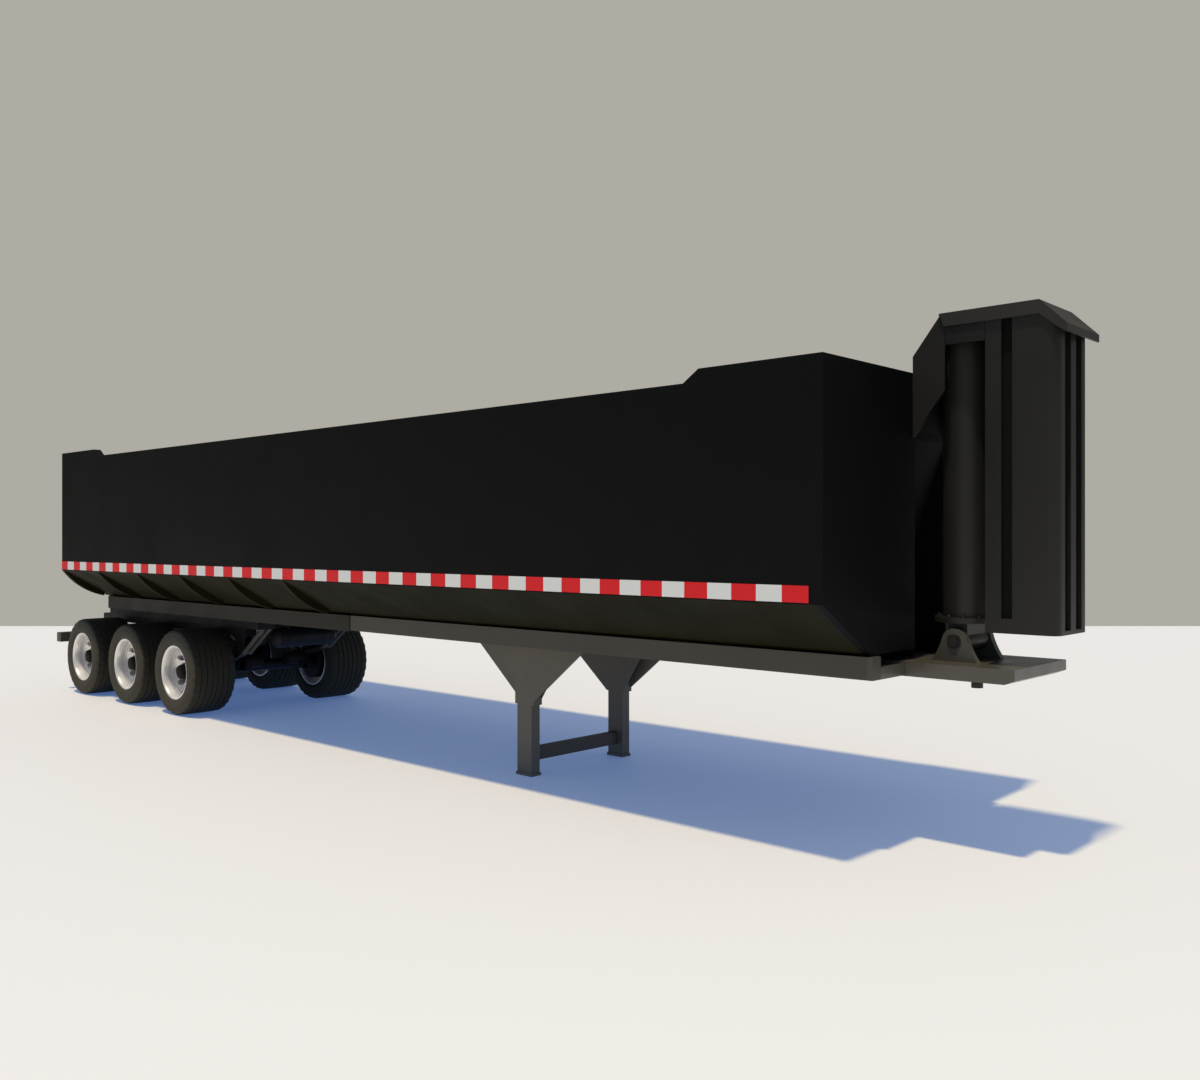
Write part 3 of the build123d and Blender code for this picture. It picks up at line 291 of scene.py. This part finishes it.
def add_rod(bm, start, end, radius, sides, end_radius=None):
    # Closed cylinder or cone between two points
    start, end = Vector(start), Vector(end)
    along = end - start
    turn = along.to_track_quat("Z", "Y").to_matrix().to_4x4()
    place = Matrix.Translation((start + end) / 2) @ turn
    bmesh.ops.create_cone(bm, cap_ends=True, segments=sides, radius1=radius,
                          radius2=radius if end_radius is None else end_radius, depth=along.length,
                          matrix=place)


def add_cross_rod(bm, sign, x, z, inner, outer, radius, sides, end_radius=None):
    # A rod on one side, straight across the trailer
    add_rod(bm, (x, sign * inner, z), (x, sign * outer, z), radius, sides, end_radius)


def add_bolt(bm, at, axis, across, head):
    # Hexagon head on its washer
    at, axis = Vector(at), Vector(axis).normalized()
    add_rod(bm, at, at + axis * WASHER, across * WASHER_SHARE, THICK_BAR)
    add_rod(bm, at + axis * WASHER, at + axis * (WASHER + head), across * HEAD_SHARE, HEXAGON)


def on_circle(index, count, radius, start=0.5):
    # Sine and cosine parts of one of count even places round a circle
    turn = 2 * math.pi * (index + start) / count
    return radius * math.sin(turn), radius * math.cos(turn)


def turn_profile(bm, points, steps, closed, centre, axis):
    # Turns a line of points fully about an axis, in a mesh that is still empty, and closes seam and poles
    verts = [bm.verts.new(p) for p in points]
    pairs = list(zip(verts, verts[1:]))
    if closed:
        pairs.append((verts[-1], verts[0]))
    edges = [bm.edges.new(p) for p in pairs]
    bmesh.ops.spin(bm, geom=verts + edges, cent=centre, axis=axis, dvec=(0, 0, 0), angle=2 * math.pi,
                   steps=steps, use_merge=True, use_normal_flip=False, use_duplicate=False)
    bmesh.ops.remove_doubles(bm, verts=bm.verts, dist=MERGE_WITHIN)


def add_wheel_spin(bm, points, steps, closed, centre):
    # Turns (y, radius) points about the axle line through centre
    cx, cy, cz = centre
    turn_profile(bm, [(cx, cy + y, cz + r) for y, r in points], steps, closed, centre, (0, 1, 0))


def add_hoist_spin(bm, points, steps):
    # Turns a closed line of (radius, z) points about the hoist's axis
    turn_profile(bm, [(HOIST_X + r, 0, z) for r, z in points], steps, True, (HOIST_X, 0, 0), (0, 0, 1))


# Wheels: tread and sidewall, pressed discs with hand holes, hub, studs and nuts

TREAD_STEPS = 120
# Half a tyre's line from bead to shoulder, as distance from its middle and radius
SIDEWALL = ((0.216, 0.277), (0.224, 0.281), (0.229, 0.2905), (0.238, 0.296), (0.2475, 0.307), (0.2535, 0.325),
            (0.256, 0.345), (0.256, 0.366), (0.254, 0.388), (0.2505, 0.3905), (0.2495, 0.405), (0.248, 0.418),
            (0.243, 0.432), (0.235, 0.443), (0.222, 0.4505), (0.205, 0.4545))
# Outer and inner edges of the tread's grooves
GROOVES = ((0.160, 0.149), (0.096, 0.085), (0.032, 0.021))
GROOVE_DEPTH = 0.012
GROOVE_SLOPE = 0.002
CROWN = 0.06
# Shoulder lugs: two steps cut of every four. Sipes beside the outer groove: one step of every six.
LUG_FROM, LUG_ABOVE, LUG_PITCH, LUG_CUTS, LUG_DEPTH = 0.200, 0.430, 4, (0, 1), 0.009
SIPE_FROM, SIPE_TO, SIPE_ABOVE, SIPE_PITCH, SIPE_DEPTH = 0.145, 0.165, 0.450, 6, 0.005


def crown(offset):
    # Tread's slightly rounded profile
    return TYRE_RADIUS - CROWN * offset ** 2


def tyre_points():
    side = list(SIDEWALL)
    for outer, inner in GROOVES:
        side += [(outer, crown(outer)), (outer - GROOVE_SLOPE, crown(outer) - GROOVE_DEPTH),
                 (inner + GROOVE_SLOPE, crown(inner) - GROOVE_DEPTH), (inner, crown(inner))]
    return side + [(-y, r) for y, r in side[::-1]]


def tyre_mesh(bm, x, y):
    add_wheel_spin(bm, tyre_points(), TREAD_STEPS, False, (x, y, AXLE_Z))
    for v in bm.verts:
        dx, dz = v.co.x - x, v.co.z - AXLE_Z
        radius = math.hypot(dx, dz)
        offset = abs(v.co.y - y)
        index = round(math.atan2(dx, dz) / (2 * math.pi / TREAD_STEPS)) % TREAD_STEPS
        cut = 0.0
        if offset > LUG_FROM and radius > LUG_ABOVE and index % LUG_PITCH in LUG_CUTS:
            cut = LUG_DEPTH
        elif SIPE_FROM < offset < SIPE_TO and radius > SIPE_ABOVE and index % SIPE_PITCH == 0:
            cut = SIPE_DEPTH
        if cut:
            scale = (radius - cut) / radius
            v.co.x, v.co.z = x + dx * scale, AXLE_Z + dz * scale


# The rim's section, as distance from its middle and radius
RIM_SIDE = ((0.214, 0.276), (0.222, 0.277), (0.228, 0.283), (0.231, 0.289), (0.2345, 0.2905), (0.2375, 0.287),
            (0.2365, 0.279), (0.230, 0.270), (0.214, 0.266), (0.170, 0.262), (0.150, 0.260))
RIM_BARREL = RIM_SIDE + tuple((-y, r) for y, r in RIM_SIDE[::-1])
RIM_STEPS = 96
# The pressed dish from the rim's well to the hub face, as y and radius
DISC_PROFILE = ((0.968, 0.2610), (0.953, 0.2595), (0.935, 0.2530), (0.917, 0.2430), (0.900, 0.2310),
                (0.884, 0.2180), (0.868, 0.2060), (0.854, 0.1970), (0.846, 0.1880), (WHEEL_Y, 0.1760),
                (WHEEL_Y, 0.1100))
DISC_STEPS = 120
DISC_THICKNESS = 0.008
HOLE_COUNT = 10
# Each hand hole's middle and edge steps of its pitch, each with the radii between which it is open
HOLE_PARTS = (((4, 5, 6, 7), 0.208, 0.250), ((3, 8), 0.215, 0.240))
# Drum, hub and its cap, as y and radius
HUB_PROFILE = ((0.592, 0.048), (0.592, 0.196), (0.598, 0.205), (0.615, 0.205), (0.617, 0.200), (0.640, 0.200),
               (0.642, 0.205), (0.760, 0.205), (0.775, 0.190), (0.783, 0.165), (0.835, 0.165), (0.835, 0.100),
               (0.849, 0.100), (0.860, 0.092), (0.905, 0.086), (0.952, 0.084), (0.952, 0.094), (0.966, 0.094),
               (0.968, 0.080), (1.004, 0.077), (1.020, 0.068), (1.028, 0.050), (1.030, 0.0))
HUB_STEPS = 64
STUD_CIRCLE = 0.1429
NUT_SEAT_Y = WHEEL_Y + 0.012
# Washer, nut and stud end: from and to beside the nut's seat, radius and sides
NUT_PARTS = ((-0.010, 0.004, 0.0235, 16), (0.004, 0.026, 0.0185, 6), (0.026, 0.038, 0.0105, 10))
CAP_BOLTS, CAP_BOLT_CIRCLE, CAP_BOLT_RADIUS = 6, 0.087, 0.0065
CAP_BOLT_FROM_Y, CAP_BOLT_TO_Y = 0.964, 0.973


def disc_mesh(bm, x):
    # The dish with its hand holes, thickened
    part = bmesh.new()
    add_wheel_spin(part, DISC_PROFILE, DISC_STEPS, False, (x, 0, AXLE_Z))
    pitch = DISC_STEPS // HOLE_COUNT
    doomed = []
    for face in part.faces:
        c = face.calc_center_median()
        dx, dz = c.x - x, c.z - AXLE_Z
        radius = math.hypot(dx, dz)
        index = int(math.floor(math.atan2(dx, dz) / (2 * math.pi / DISC_STEPS))) % pitch
        if any(index in steps and low < radius < high for steps, low, high in HOLE_PARTS):
            doomed.append(face)
    bmesh.ops.delete(part, geom=doomed, context="FACES")
    bmesh.ops.recalc_face_normals(part, faces=part.faces)
    bmesh.ops.solidify(part, geom=part.faces[:], thickness=DISC_THICKNESS)
    copied = bpy.data.meshes.new("disc part")
    part.to_mesh(copied)
    part.free()
    bm.from_mesh(copied)
    bpy.data.meshes.remove(copied)


def hub_mesh(bm, x, nuts):
    # Drum, hub and its cap; the nuts go into their own mesh
    add_wheel_spin(bm, HUB_PROFILE, HUB_STEPS, False, (x, 0, AXLE_Z))
    for i in range(HOLE_COUNT):
        dx, dz = on_circle(i, HOLE_COUNT, STUD_CIRCLE)
        for low, high, radius, sides in NUT_PARTS:
            add_cross_rod(nuts, 1, x + dx, AXLE_Z + dz, NUT_SEAT_Y + low, NUT_SEAT_Y + high, radius, sides)
    for i in range(CAP_BOLTS):
        dx, dz = on_circle(i, CAP_BOLTS, CAP_BOLT_CIRCLE, 0)
        add_cross_rod(nuts, 1, x + dx, AXLE_Z + dz, CAP_BOLT_FROM_Y, CAP_BOLT_TO_Y, CAP_BOLT_RADIUS,
                      HEXAGON)


def mirrored(bm, sign):
    if sign < 0:
        bmesh.ops.scale(bm, vec=(1, -1, 1), verts=bm.verts)
    return bm


for number, at in enumerate(AXLE_STATIONS, 1):
    for side, sign in (("left", 1), ("right", -1)):
        body = f"wheels_{side}_{number}"
        x = station(at)
        tyres, rims, hub, nuts = bmesh.new(), bmesh.new(), bmesh.new(), bmesh.new()
        tyre_mesh(tyres, x, WHEEL_Y)
        add_wheel_spin(rims, RIM_BARREL, RIM_STEPS, True, (x, WHEEL_Y, AXLE_Z))
        disc_mesh(rims, x)
        hub_mesh(hub, x, nuts)
        tread = finish_mesh(f"tread_{side}_{number}", mirrored(tyres, sign), RUBBER, body, 40)
        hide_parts(f"tyres_{side}_{number}")
        shown = finish_mesh(f"rims_{side}_{number}", mirrored(rims, sign), RIM, body, 50)
        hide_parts(f"wheel_{side}_{number}")
        finish_mesh(f"hub_{side}_{number}", mirrored(hub, sign), CAST, body, 30)
        finish_mesh(f"nuts_{side}_{number}", mirrored(nuts, sign), ZINC, body, 30)


# Suspension: U-bolts, brake chambers and slack adjusters on each axle. Heights are above the axle's middle.

UBOLT_AHEAD, UBOLT_RADIUS, UBOLT_SIDES = 0.048, 0.010, (0.452, 0.548)
UBOLT_LOW, UBOLT_BEND, UBOLT_HIGH = -0.078, -0.072, 0.172
UBOLT_NUT_LOW, UBOLT_NUT_HIGH, UBOLT_NUT_RADIUS = 0.158, 0.174, 0.017
CHAMBER_AHEAD, CHAMBER_UP, CHAMBER_STEPS = 0.175, 0.070, 28
# Each drum of the brake chamber: inner and outer y, radius and end radius
CHAMBER_PARTS = ((0.230, 0.300, 0.072, 0.082), (0.300, 0.312, 0.090, None), (0.312, 0.352, 0.082, 0.062),
                 (0.160, 0.232, 0.070, None))
PUSH_ROD_SIDES, PUSH_ROD_RADIUS = (0.352, 0.430), 0.009
CAMSHAFT_AHEAD, CAMSHAFT_UP, CAMSHAFT_RADIUS, CAMSHAFT_SIDES = 0.105, 0.010, 0.019, (0.330, 0.592)
ARM_CAMSHAFT_Y, ARM_CHAMBER_Y, ARM_RADIUS = 0.400, 0.425, 0.016
# Saddle plate, chamber plate and slack adjuster: rear and front beside the axle, inner and outer y,
# bottom and top, bevel
AXLE_PLATES = (
    (-0.070, 0.070, 0.450, 0.550, -0.084, -0.062, BEVEL),
    (0.065, 0.225, 0.352, 0.364, -0.030, 0.140, SMALL_BEVEL),
    (0.055, 0.125, 0.372, 0.384, -0.030, 0.050, SMALL_BEVEL),
)

ubolts, chambers = bmesh.new(), bmesh.new()
axle_ends = [(station(at), sign) for at in AXLE_STATIONS for sign in SIDES]
for x, sign in axle_ends:
    for dx in (-UBOLT_AHEAD, UBOLT_AHEAD):
        for y in UBOLT_SIDES:
            place = (x + dx, sign * y)
            add_rod(ubolts, (*place, AXLE_Z + UBOLT_LOW), (*place, AXLE_Z + UBOLT_HIGH), UBOLT_RADIUS, BAR)
            add_rod(ubolts, (*place, AXLE_Z + UBOLT_NUT_LOW), (*place, AXLE_Z + UBOLT_NUT_HIGH),
                    UBOLT_NUT_RADIUS, HEXAGON)
        add_cross_rod(ubolts, sign, x + dx, AXLE_Z + UBOLT_BEND, *UBOLT_SIDES, UBOLT_RADIUS, BAR)
    cx, cz = x + CHAMBER_AHEAD, AXLE_Z + CHAMBER_UP
    for inner, outer, radius, end_radius in CHAMBER_PARTS:
        add_cross_rod(chambers, sign, cx, cz, inner, outer, radius, CHAMBER_STEPS, end_radius)
    add_cross_rod(chambers, sign, cx, cz, *PUSH_ROD_SIDES, PUSH_ROD_RADIUS, THIN_BAR)
    kx, kz = x + CAMSHAFT_AHEAD, AXLE_Z + CAMSHAFT_UP
    add_rod(chambers, (kx, sign * ARM_CAMSHAFT_Y, kz), (cx, sign * ARM_CHAMBER_Y, cz), ARM_RADIUS,
            THIN_BAR)
    add_cross_rod(chambers, sign, kx, kz, *CAMSHAFT_SIDES, CAMSHAFT_RADIUS, THICK_BAR)
# Bevelled plates come after all rods: a rod made after a bevel has its caps cut another way in each run
for x, sign in axle_ends:
    for rear, front, inner, outer, low, high, bevel in AXLE_PLATES:
        add_side_box(chambers, sign, x + rear, x + front, inner, outer, AXLE_Z + low, AXLE_Z + high, bevel)
finish_mesh("u_bolts", ubolts, FORGED, "frame")
finish_mesh("brake_gear", chambers, CAST, "frame")


# Hoist: flange bolts, pedestal pins with their keeper bolts, gland collar, and the cap on the rod that
# covers the stages when they are in

# Bolts as their size across flats and their head's height
FLANGE_BOLT, KEEPER_BOLT, COLLAR_BOLT = (0.024, 0.013), (0.013, 0.007), (0.018, 0.008)
FLANGE_BOLTS, FLANGE_CIRCLE, FLANGE_TOP_Z = 12, 0.177, 1.400
PEDESTAL_PIN_Z, PIN_FACE_Y, PIN_HEAD_Y, PIN_END_Y = 1.255, 0.200, 0.206, 0.214
PIN_HEAD_RADIUS, PIN_END_RADIUS, PIN_STEPS = 0.044, 0.030, 24
KEEPER_AHEAD, KEEPER_Z = 0.026, 1.285
COLLAR_PROFILE = ((0.142, 3.088), (0.153, 3.088), (0.153, 3.108), (0.150, 3.112), (0.142, 3.112))
COLLAR_BOLTS, COLLAR_RADIUS, COLLAR_BOLT_Z = 4, 0.153, 3.070
COVER_PROFILE = ((0.060, 3.130), (0.096, 3.130), (0.100, 3.132), (0.098, 3.138), (0.080, 3.150),
                 (0.060, 3.152))
HOIST_STEPS = 48

bolts = bmesh.new()
for i in range(FLANGE_BOLTS):
    dy, dx = on_circle(i, FLANGE_BOLTS, FLANGE_CIRCLE)
    add_bolt(bolts, (HOIST_X + dx, dy, FLANGE_TOP_Z), (0, 0, 1), *FLANGE_BOLT)
finish_mesh("flange_bolts", bolts, HOIST_PAINT, "hoist_barrel")

bolts = bmesh.new()
for sign in SIDES:
    add_cross_rod(bolts, sign, HOIST_X, PEDESTAL_PIN_Z, PIN_FACE_Y, PIN_HEAD_Y, PIN_HEAD_RADIUS, PIN_STEPS)
    add_cross_rod(bolts, sign, HOIST_X, PEDESTAL_PIN_Z, PIN_HEAD_Y, PIN_END_Y, PIN_END_RADIUS, PIN_STEPS)
    for dx in (-KEEPER_AHEAD, KEEPER_AHEAD):
        add_bolt(bolts, (HOIST_X + dx, sign * PIN_HEAD_Y, KEEPER_Z), (0, sign, 0), *KEEPER_BOLT)
finish_mesh("pedestal_pins", bolts, FORGED, "frame")

collar = bmesh.new()
add_hoist_spin(collar, COLLAR_PROFILE, HOIST_STEPS)
for i in range(COLLAR_BOLTS):
    dy, dx = on_circle(i, COLLAR_BOLTS, COLLAR_RADIUS)
    add_bolt(collar, (HOIST_X + dx, dy, COLLAR_BOLT_Z), (dx, dy, 0), *COLLAR_BOLT)
finish_mesh("gland_collar", collar, HOIST_PAINT, "hoist_barrel")

cover = bmesh.new()
add_hoist_spin(cover, COVER_PROFILE, HOIST_STEPS)
finish_mesh("stage_cover", cover, HOIST_PAINT, "hoist_rod")


# Closing plates between the bracket's cheeks and the guard, over the barrel's top

PLATE_SIDES = (0.2390, 0.2450)
PLATE_REAR_X, PLATE_FRONT_X = 5.352, 5.602
PLATE_LOW_Z, PLATE_HIGH_Z = 3.068, 3.196

plates = bmesh.new()
for sign in SIDES:
    add_side_box(plates, sign, PLATE_REAR_X, PLATE_FRONT_X, *PLATE_SIDES, PLATE_LOW_Z, PLATE_HIGH_Z,
                 FINE_BEVEL)
finish_mesh("closing_plates", plates, BRACKET_PAINT_SHADED_INSIDE, "bed")


# Thin black sheets on the floors of the guard's side and front grooves, as painted shade

SIDE_GROOVE_STATIONS, SIDE_GROOVE_FLOOR = (11.124, 11.188), (0.206, 0.208)
SIDE_GROOVE_LOW_Z, SIDE_GROOVE_HIGH_Z = 1.414, 3.230
FRONT_GROOVE_STATIONS, FRONT_GROOVE_SIDES = (11.426, 11.428), (0.041, 0.131)
FRONT_GROOVE_LOW_Z, FRONT_GROOVE_HIGH_Z = 1.351, 3.110

shade_sheets = bmesh.new()
for sign in SIDES:
    add_side_box(shade_sheets, sign, *map(station, SIDE_GROOVE_STATIONS), *SIDE_GROOVE_FLOOR,
                 SIDE_GROOVE_LOW_Z, SIDE_GROOVE_HIGH_Z)
    add_side_box(shade_sheets, sign, *map(station, FRONT_GROOVE_STATIONS), *FRONT_GROOVE_SIDES,
                 FRONT_GROOVE_LOW_Z, FRONT_GROOVE_HIGH_Z)
finish_mesh("groove_shade_sheets", shade_sheets, RECESS_SHADE_PAINT, "bed")


# Landing legs: inner gussets, each a (station, z) outline

GUSSET_TOP_Z = 1.050
GUSSET_OUTLINES = (
    ((6.72, GUSSET_TOP_Z), (7.282, 0.570), (7.282, GUSSET_TOP_Z)),
    ((7.498, 0.610), (7.80, GUSSET_TOP_Z), (7.498, GUSSET_TOP_Z)),
)
GUSSET_SIDES = (0.496, 0.508)

gussets = bmesh.new()
inner, outer = GUSSET_SIDES
for sign in SIDES:
    for outline in GUSSET_OUTLINES:
        side = gussets.faces.new([gussets.verts.new((station(x), sign * inner, z)) for x, z in outline])
        grown = bmesh.ops.extrude_face_region(gussets, geom=[side])["geom"]
        bmesh.ops.translate(gussets, vec=(0, sign * (outer - inner), 0),
                            verts=[g for g in grown if isinstance(g, bmesh.types.BMVert)])
finish_mesh("inner_leg_gussets", gussets, LEG_PAINT_LIGHTENED, "frame")


# Braces from the suspension beams down to the front hangers

BRACE_LOW_STATION, BRACE_LOW_Z, BRACE_HIGH_STATION, BRACE_HIGH_Z = 2.925, 0.655, 3.370, 0.965
BRACE_SIDES, BRACE_RADIUS = (0.462, 0.538), 0.022
BRACE_BAR_STATION, BRACE_BAR_Z, BRACE_BAR_SIDES, BRACE_BAR_RADIUS = 2.940, 0.665, (0.445, 0.555), 0.016

braces = bmesh.new()
for sign in SIDES:
    for y in BRACE_SIDES:
        add_rod(braces, (station(BRACE_LOW_STATION), sign * y, BRACE_LOW_Z),
                (station(BRACE_HIGH_STATION), sign * y, BRACE_HIGH_Z), BRACE_RADIUS, BAR)
    add_cross_rod(braces, sign, station(BRACE_BAR_STATION), BRACE_BAR_Z, *BRACE_BAR_SIDES,
                  BRACE_BAR_RADIUS, BAR)
finish_mesh("hanger_braces", braces, FRAME_PAINT, "frame")


# Air tank under the foremost suspension crossmember, on two straps

TANK_X, TANK_Z, TANK_RADIUS, TANK_STEPS = station(3.240), 0.828, 0.108, 32
TANK_HALF_LENGTH = 0.330
# Each end's cones: inner and outer y, radius and end radius
TANK_ENDS = ((TANK_HALF_LENGTH, 0.365, TANK_RADIUS, 0.070), (0.365, 0.378, 0.070, 0.030))
STRAP_SIDES, STRAP_THICKNESS = (0.195, 0.235), 0.003
STRAP_HALF_LENGTH, STRAP_UP, STRAP_TOP_Z = 0.050, 0.080, 0.950

# The tank and its straps take the near-black paint that stands in as painted shade under the bed
tank = bmesh.new()
add_rod(tank, (TANK_X, -TANK_HALF_LENGTH, TANK_Z), (TANK_X, TANK_HALF_LENGTH, TANK_Z), TANK_RADIUS,
        TANK_STEPS)
for sign in SIDES:
    for inner, outer, radius, end_radius in TANK_ENDS:
        add_cross_rod(tank, sign, TANK_X, TANK_Z, inner, outer, radius, TANK_STEPS, end_radius)
finish_mesh("air_tank", tank, UNDER_PAINT_SHADED, "frame")

straps = bmesh.new()
for sign in SIDES:
    low, high = sorted(sign * y for y in STRAP_SIDES)
    add_rod(straps, (TANK_X, low, TANK_Z), (TANK_X, high, TANK_Z), TANK_RADIUS + STRAP_THICKNESS, TANK_STEPS)
for sign in SIDES:
    add_side_box(straps, sign, TANK_X - STRAP_HALF_LENGTH, TANK_X + STRAP_HALF_LENGTH, *STRAP_SIDES,
                 TANK_Z + STRAP_UP, STRAP_TOP_Z, SMALL_BEVEL)
finish_mesh("tank_straps", straps, UNDER_PAINT_SHADED, "frame")


# Stage: plain pale floor whose far edge stands where the photo's floor ends, and a pale background

CAMERA_AT = (8.391, -6.603, 1.877)
CAMERA_YAW = math.radians(42.94)
CAMERA_LENS_MM, CAMERA_SENSOR_MM, CAMERA_REACH = 33.03, 36, 200
FLOOR_HALF_WIDTH, FLOOR_HALF_DEPTH, FLOOR_Z = 19.0, 13.45, -0.0005
SUN_TOWARDS = (-0.045, 0.245, -1.0)
SUN_COLOUR = (1.0, 0.89, 0.66)
SUN_ENERGY, SUN_ANGLE = 2.3, math.radians(3)

place = Matrix.Translation((0, 0, FLOOR_Z)) @ Matrix.Rotation(CAMERA_YAW, 4, "Z")
size = Matrix.Diagonal((FLOOR_HALF_WIDTH, FLOOR_HALF_DEPTH, 1, 1))
floor_bm = bmesh.new()
bmesh.ops.create_grid(floor_bm, x_segments=1, y_segments=1, size=1, matrix=place @ size)
floor_mesh = bpy.data.meshes.new("studio_floor")
floor_bm.to_mesh(floor_mesh)
floor_bm.free()
floor = bpy.data.objects.new("studio_floor", floor_mesh)
bpy.context.scene.collection.objects.link(floor)
# Its faint bluish light stands for the sky that fills the shadow
floor_mesh.materials.append(surface("pale seamless floor", "#f3e9cb", 0.55, specular=0.2, glow="#3f5989"))

scene = bpy.context.scene
world = bpy.data.worlds.new("studio")
scene.world = world
world.use_nodes = True
tree = world.node_tree
tree.nodes.clear()
# The camera sees the pale backdrop, glossy rays a duller one, and the rest is lit by a bluish sky
path = add(tree, "ShaderNodeLightPath")
seen = add(tree, "ShaderNodeMath", {0: path.outputs["Is Camera Ray"], 1: path.outputs["Is Transmission Ray"]},
           operation="MAXIMUM")
lit = add(tree, "ShaderNodeBackground", {"Color": linear("#8b9dbf"), "Strength": 1.0})
back = add(tree, "ShaderNodeBackground", {"Color": linear("#aeaca3"), "Strength": 1.0})
glossy = add(tree, "ShaderNodeBackground", {"Color": linear("#8f8f8a"), "Strength": 0.7})
first = add(tree, "ShaderNodeMixShader", {0: path.outputs["Is Glossy Ray"], 1: lit.outputs[0],
                                          2: glossy.outputs[0]})
second = add(tree, "ShaderNodeMixShader", {0: seen.outputs[0], 1: first.outputs[0], 2: back.outputs[0]})
world_out = add(tree, "ShaderNodeOutputWorld")
tree.links.new(second.outputs[0], world_out.inputs["Surface"])

sun_data = bpy.data.lights.new("key", "SUN")
sun_data.energy = SUN_ENERGY
sun_data.angle = SUN_ANGLE
sun_data.color = SUN_COLOUR
sun = bpy.data.objects.new("key", sun_data)
scene.collection.objects.link(sun)
sun.rotation_mode = "QUATERNION"
sun.rotation_quaternion = Vector(SUN_TOWARDS).to_track_quat("-Z", "Y")

camera_data = bpy.data.cameras.new("photo camera")
camera_data.lens = CAMERA_LENS_MM
camera_data.sensor_width = CAMERA_SENSOR_MM
camera_data.clip_end = CAMERA_REACH
camera = bpy.data.objects.new("photo camera", camera_data)
scene.collection.objects.link(camera)
camera.location = CAMERA_AT
camera.rotation_euler = (math.radians(90), 0, CAMERA_YAW)
scene.camera = camera

scene.view_settings.view_transform = "Standard"
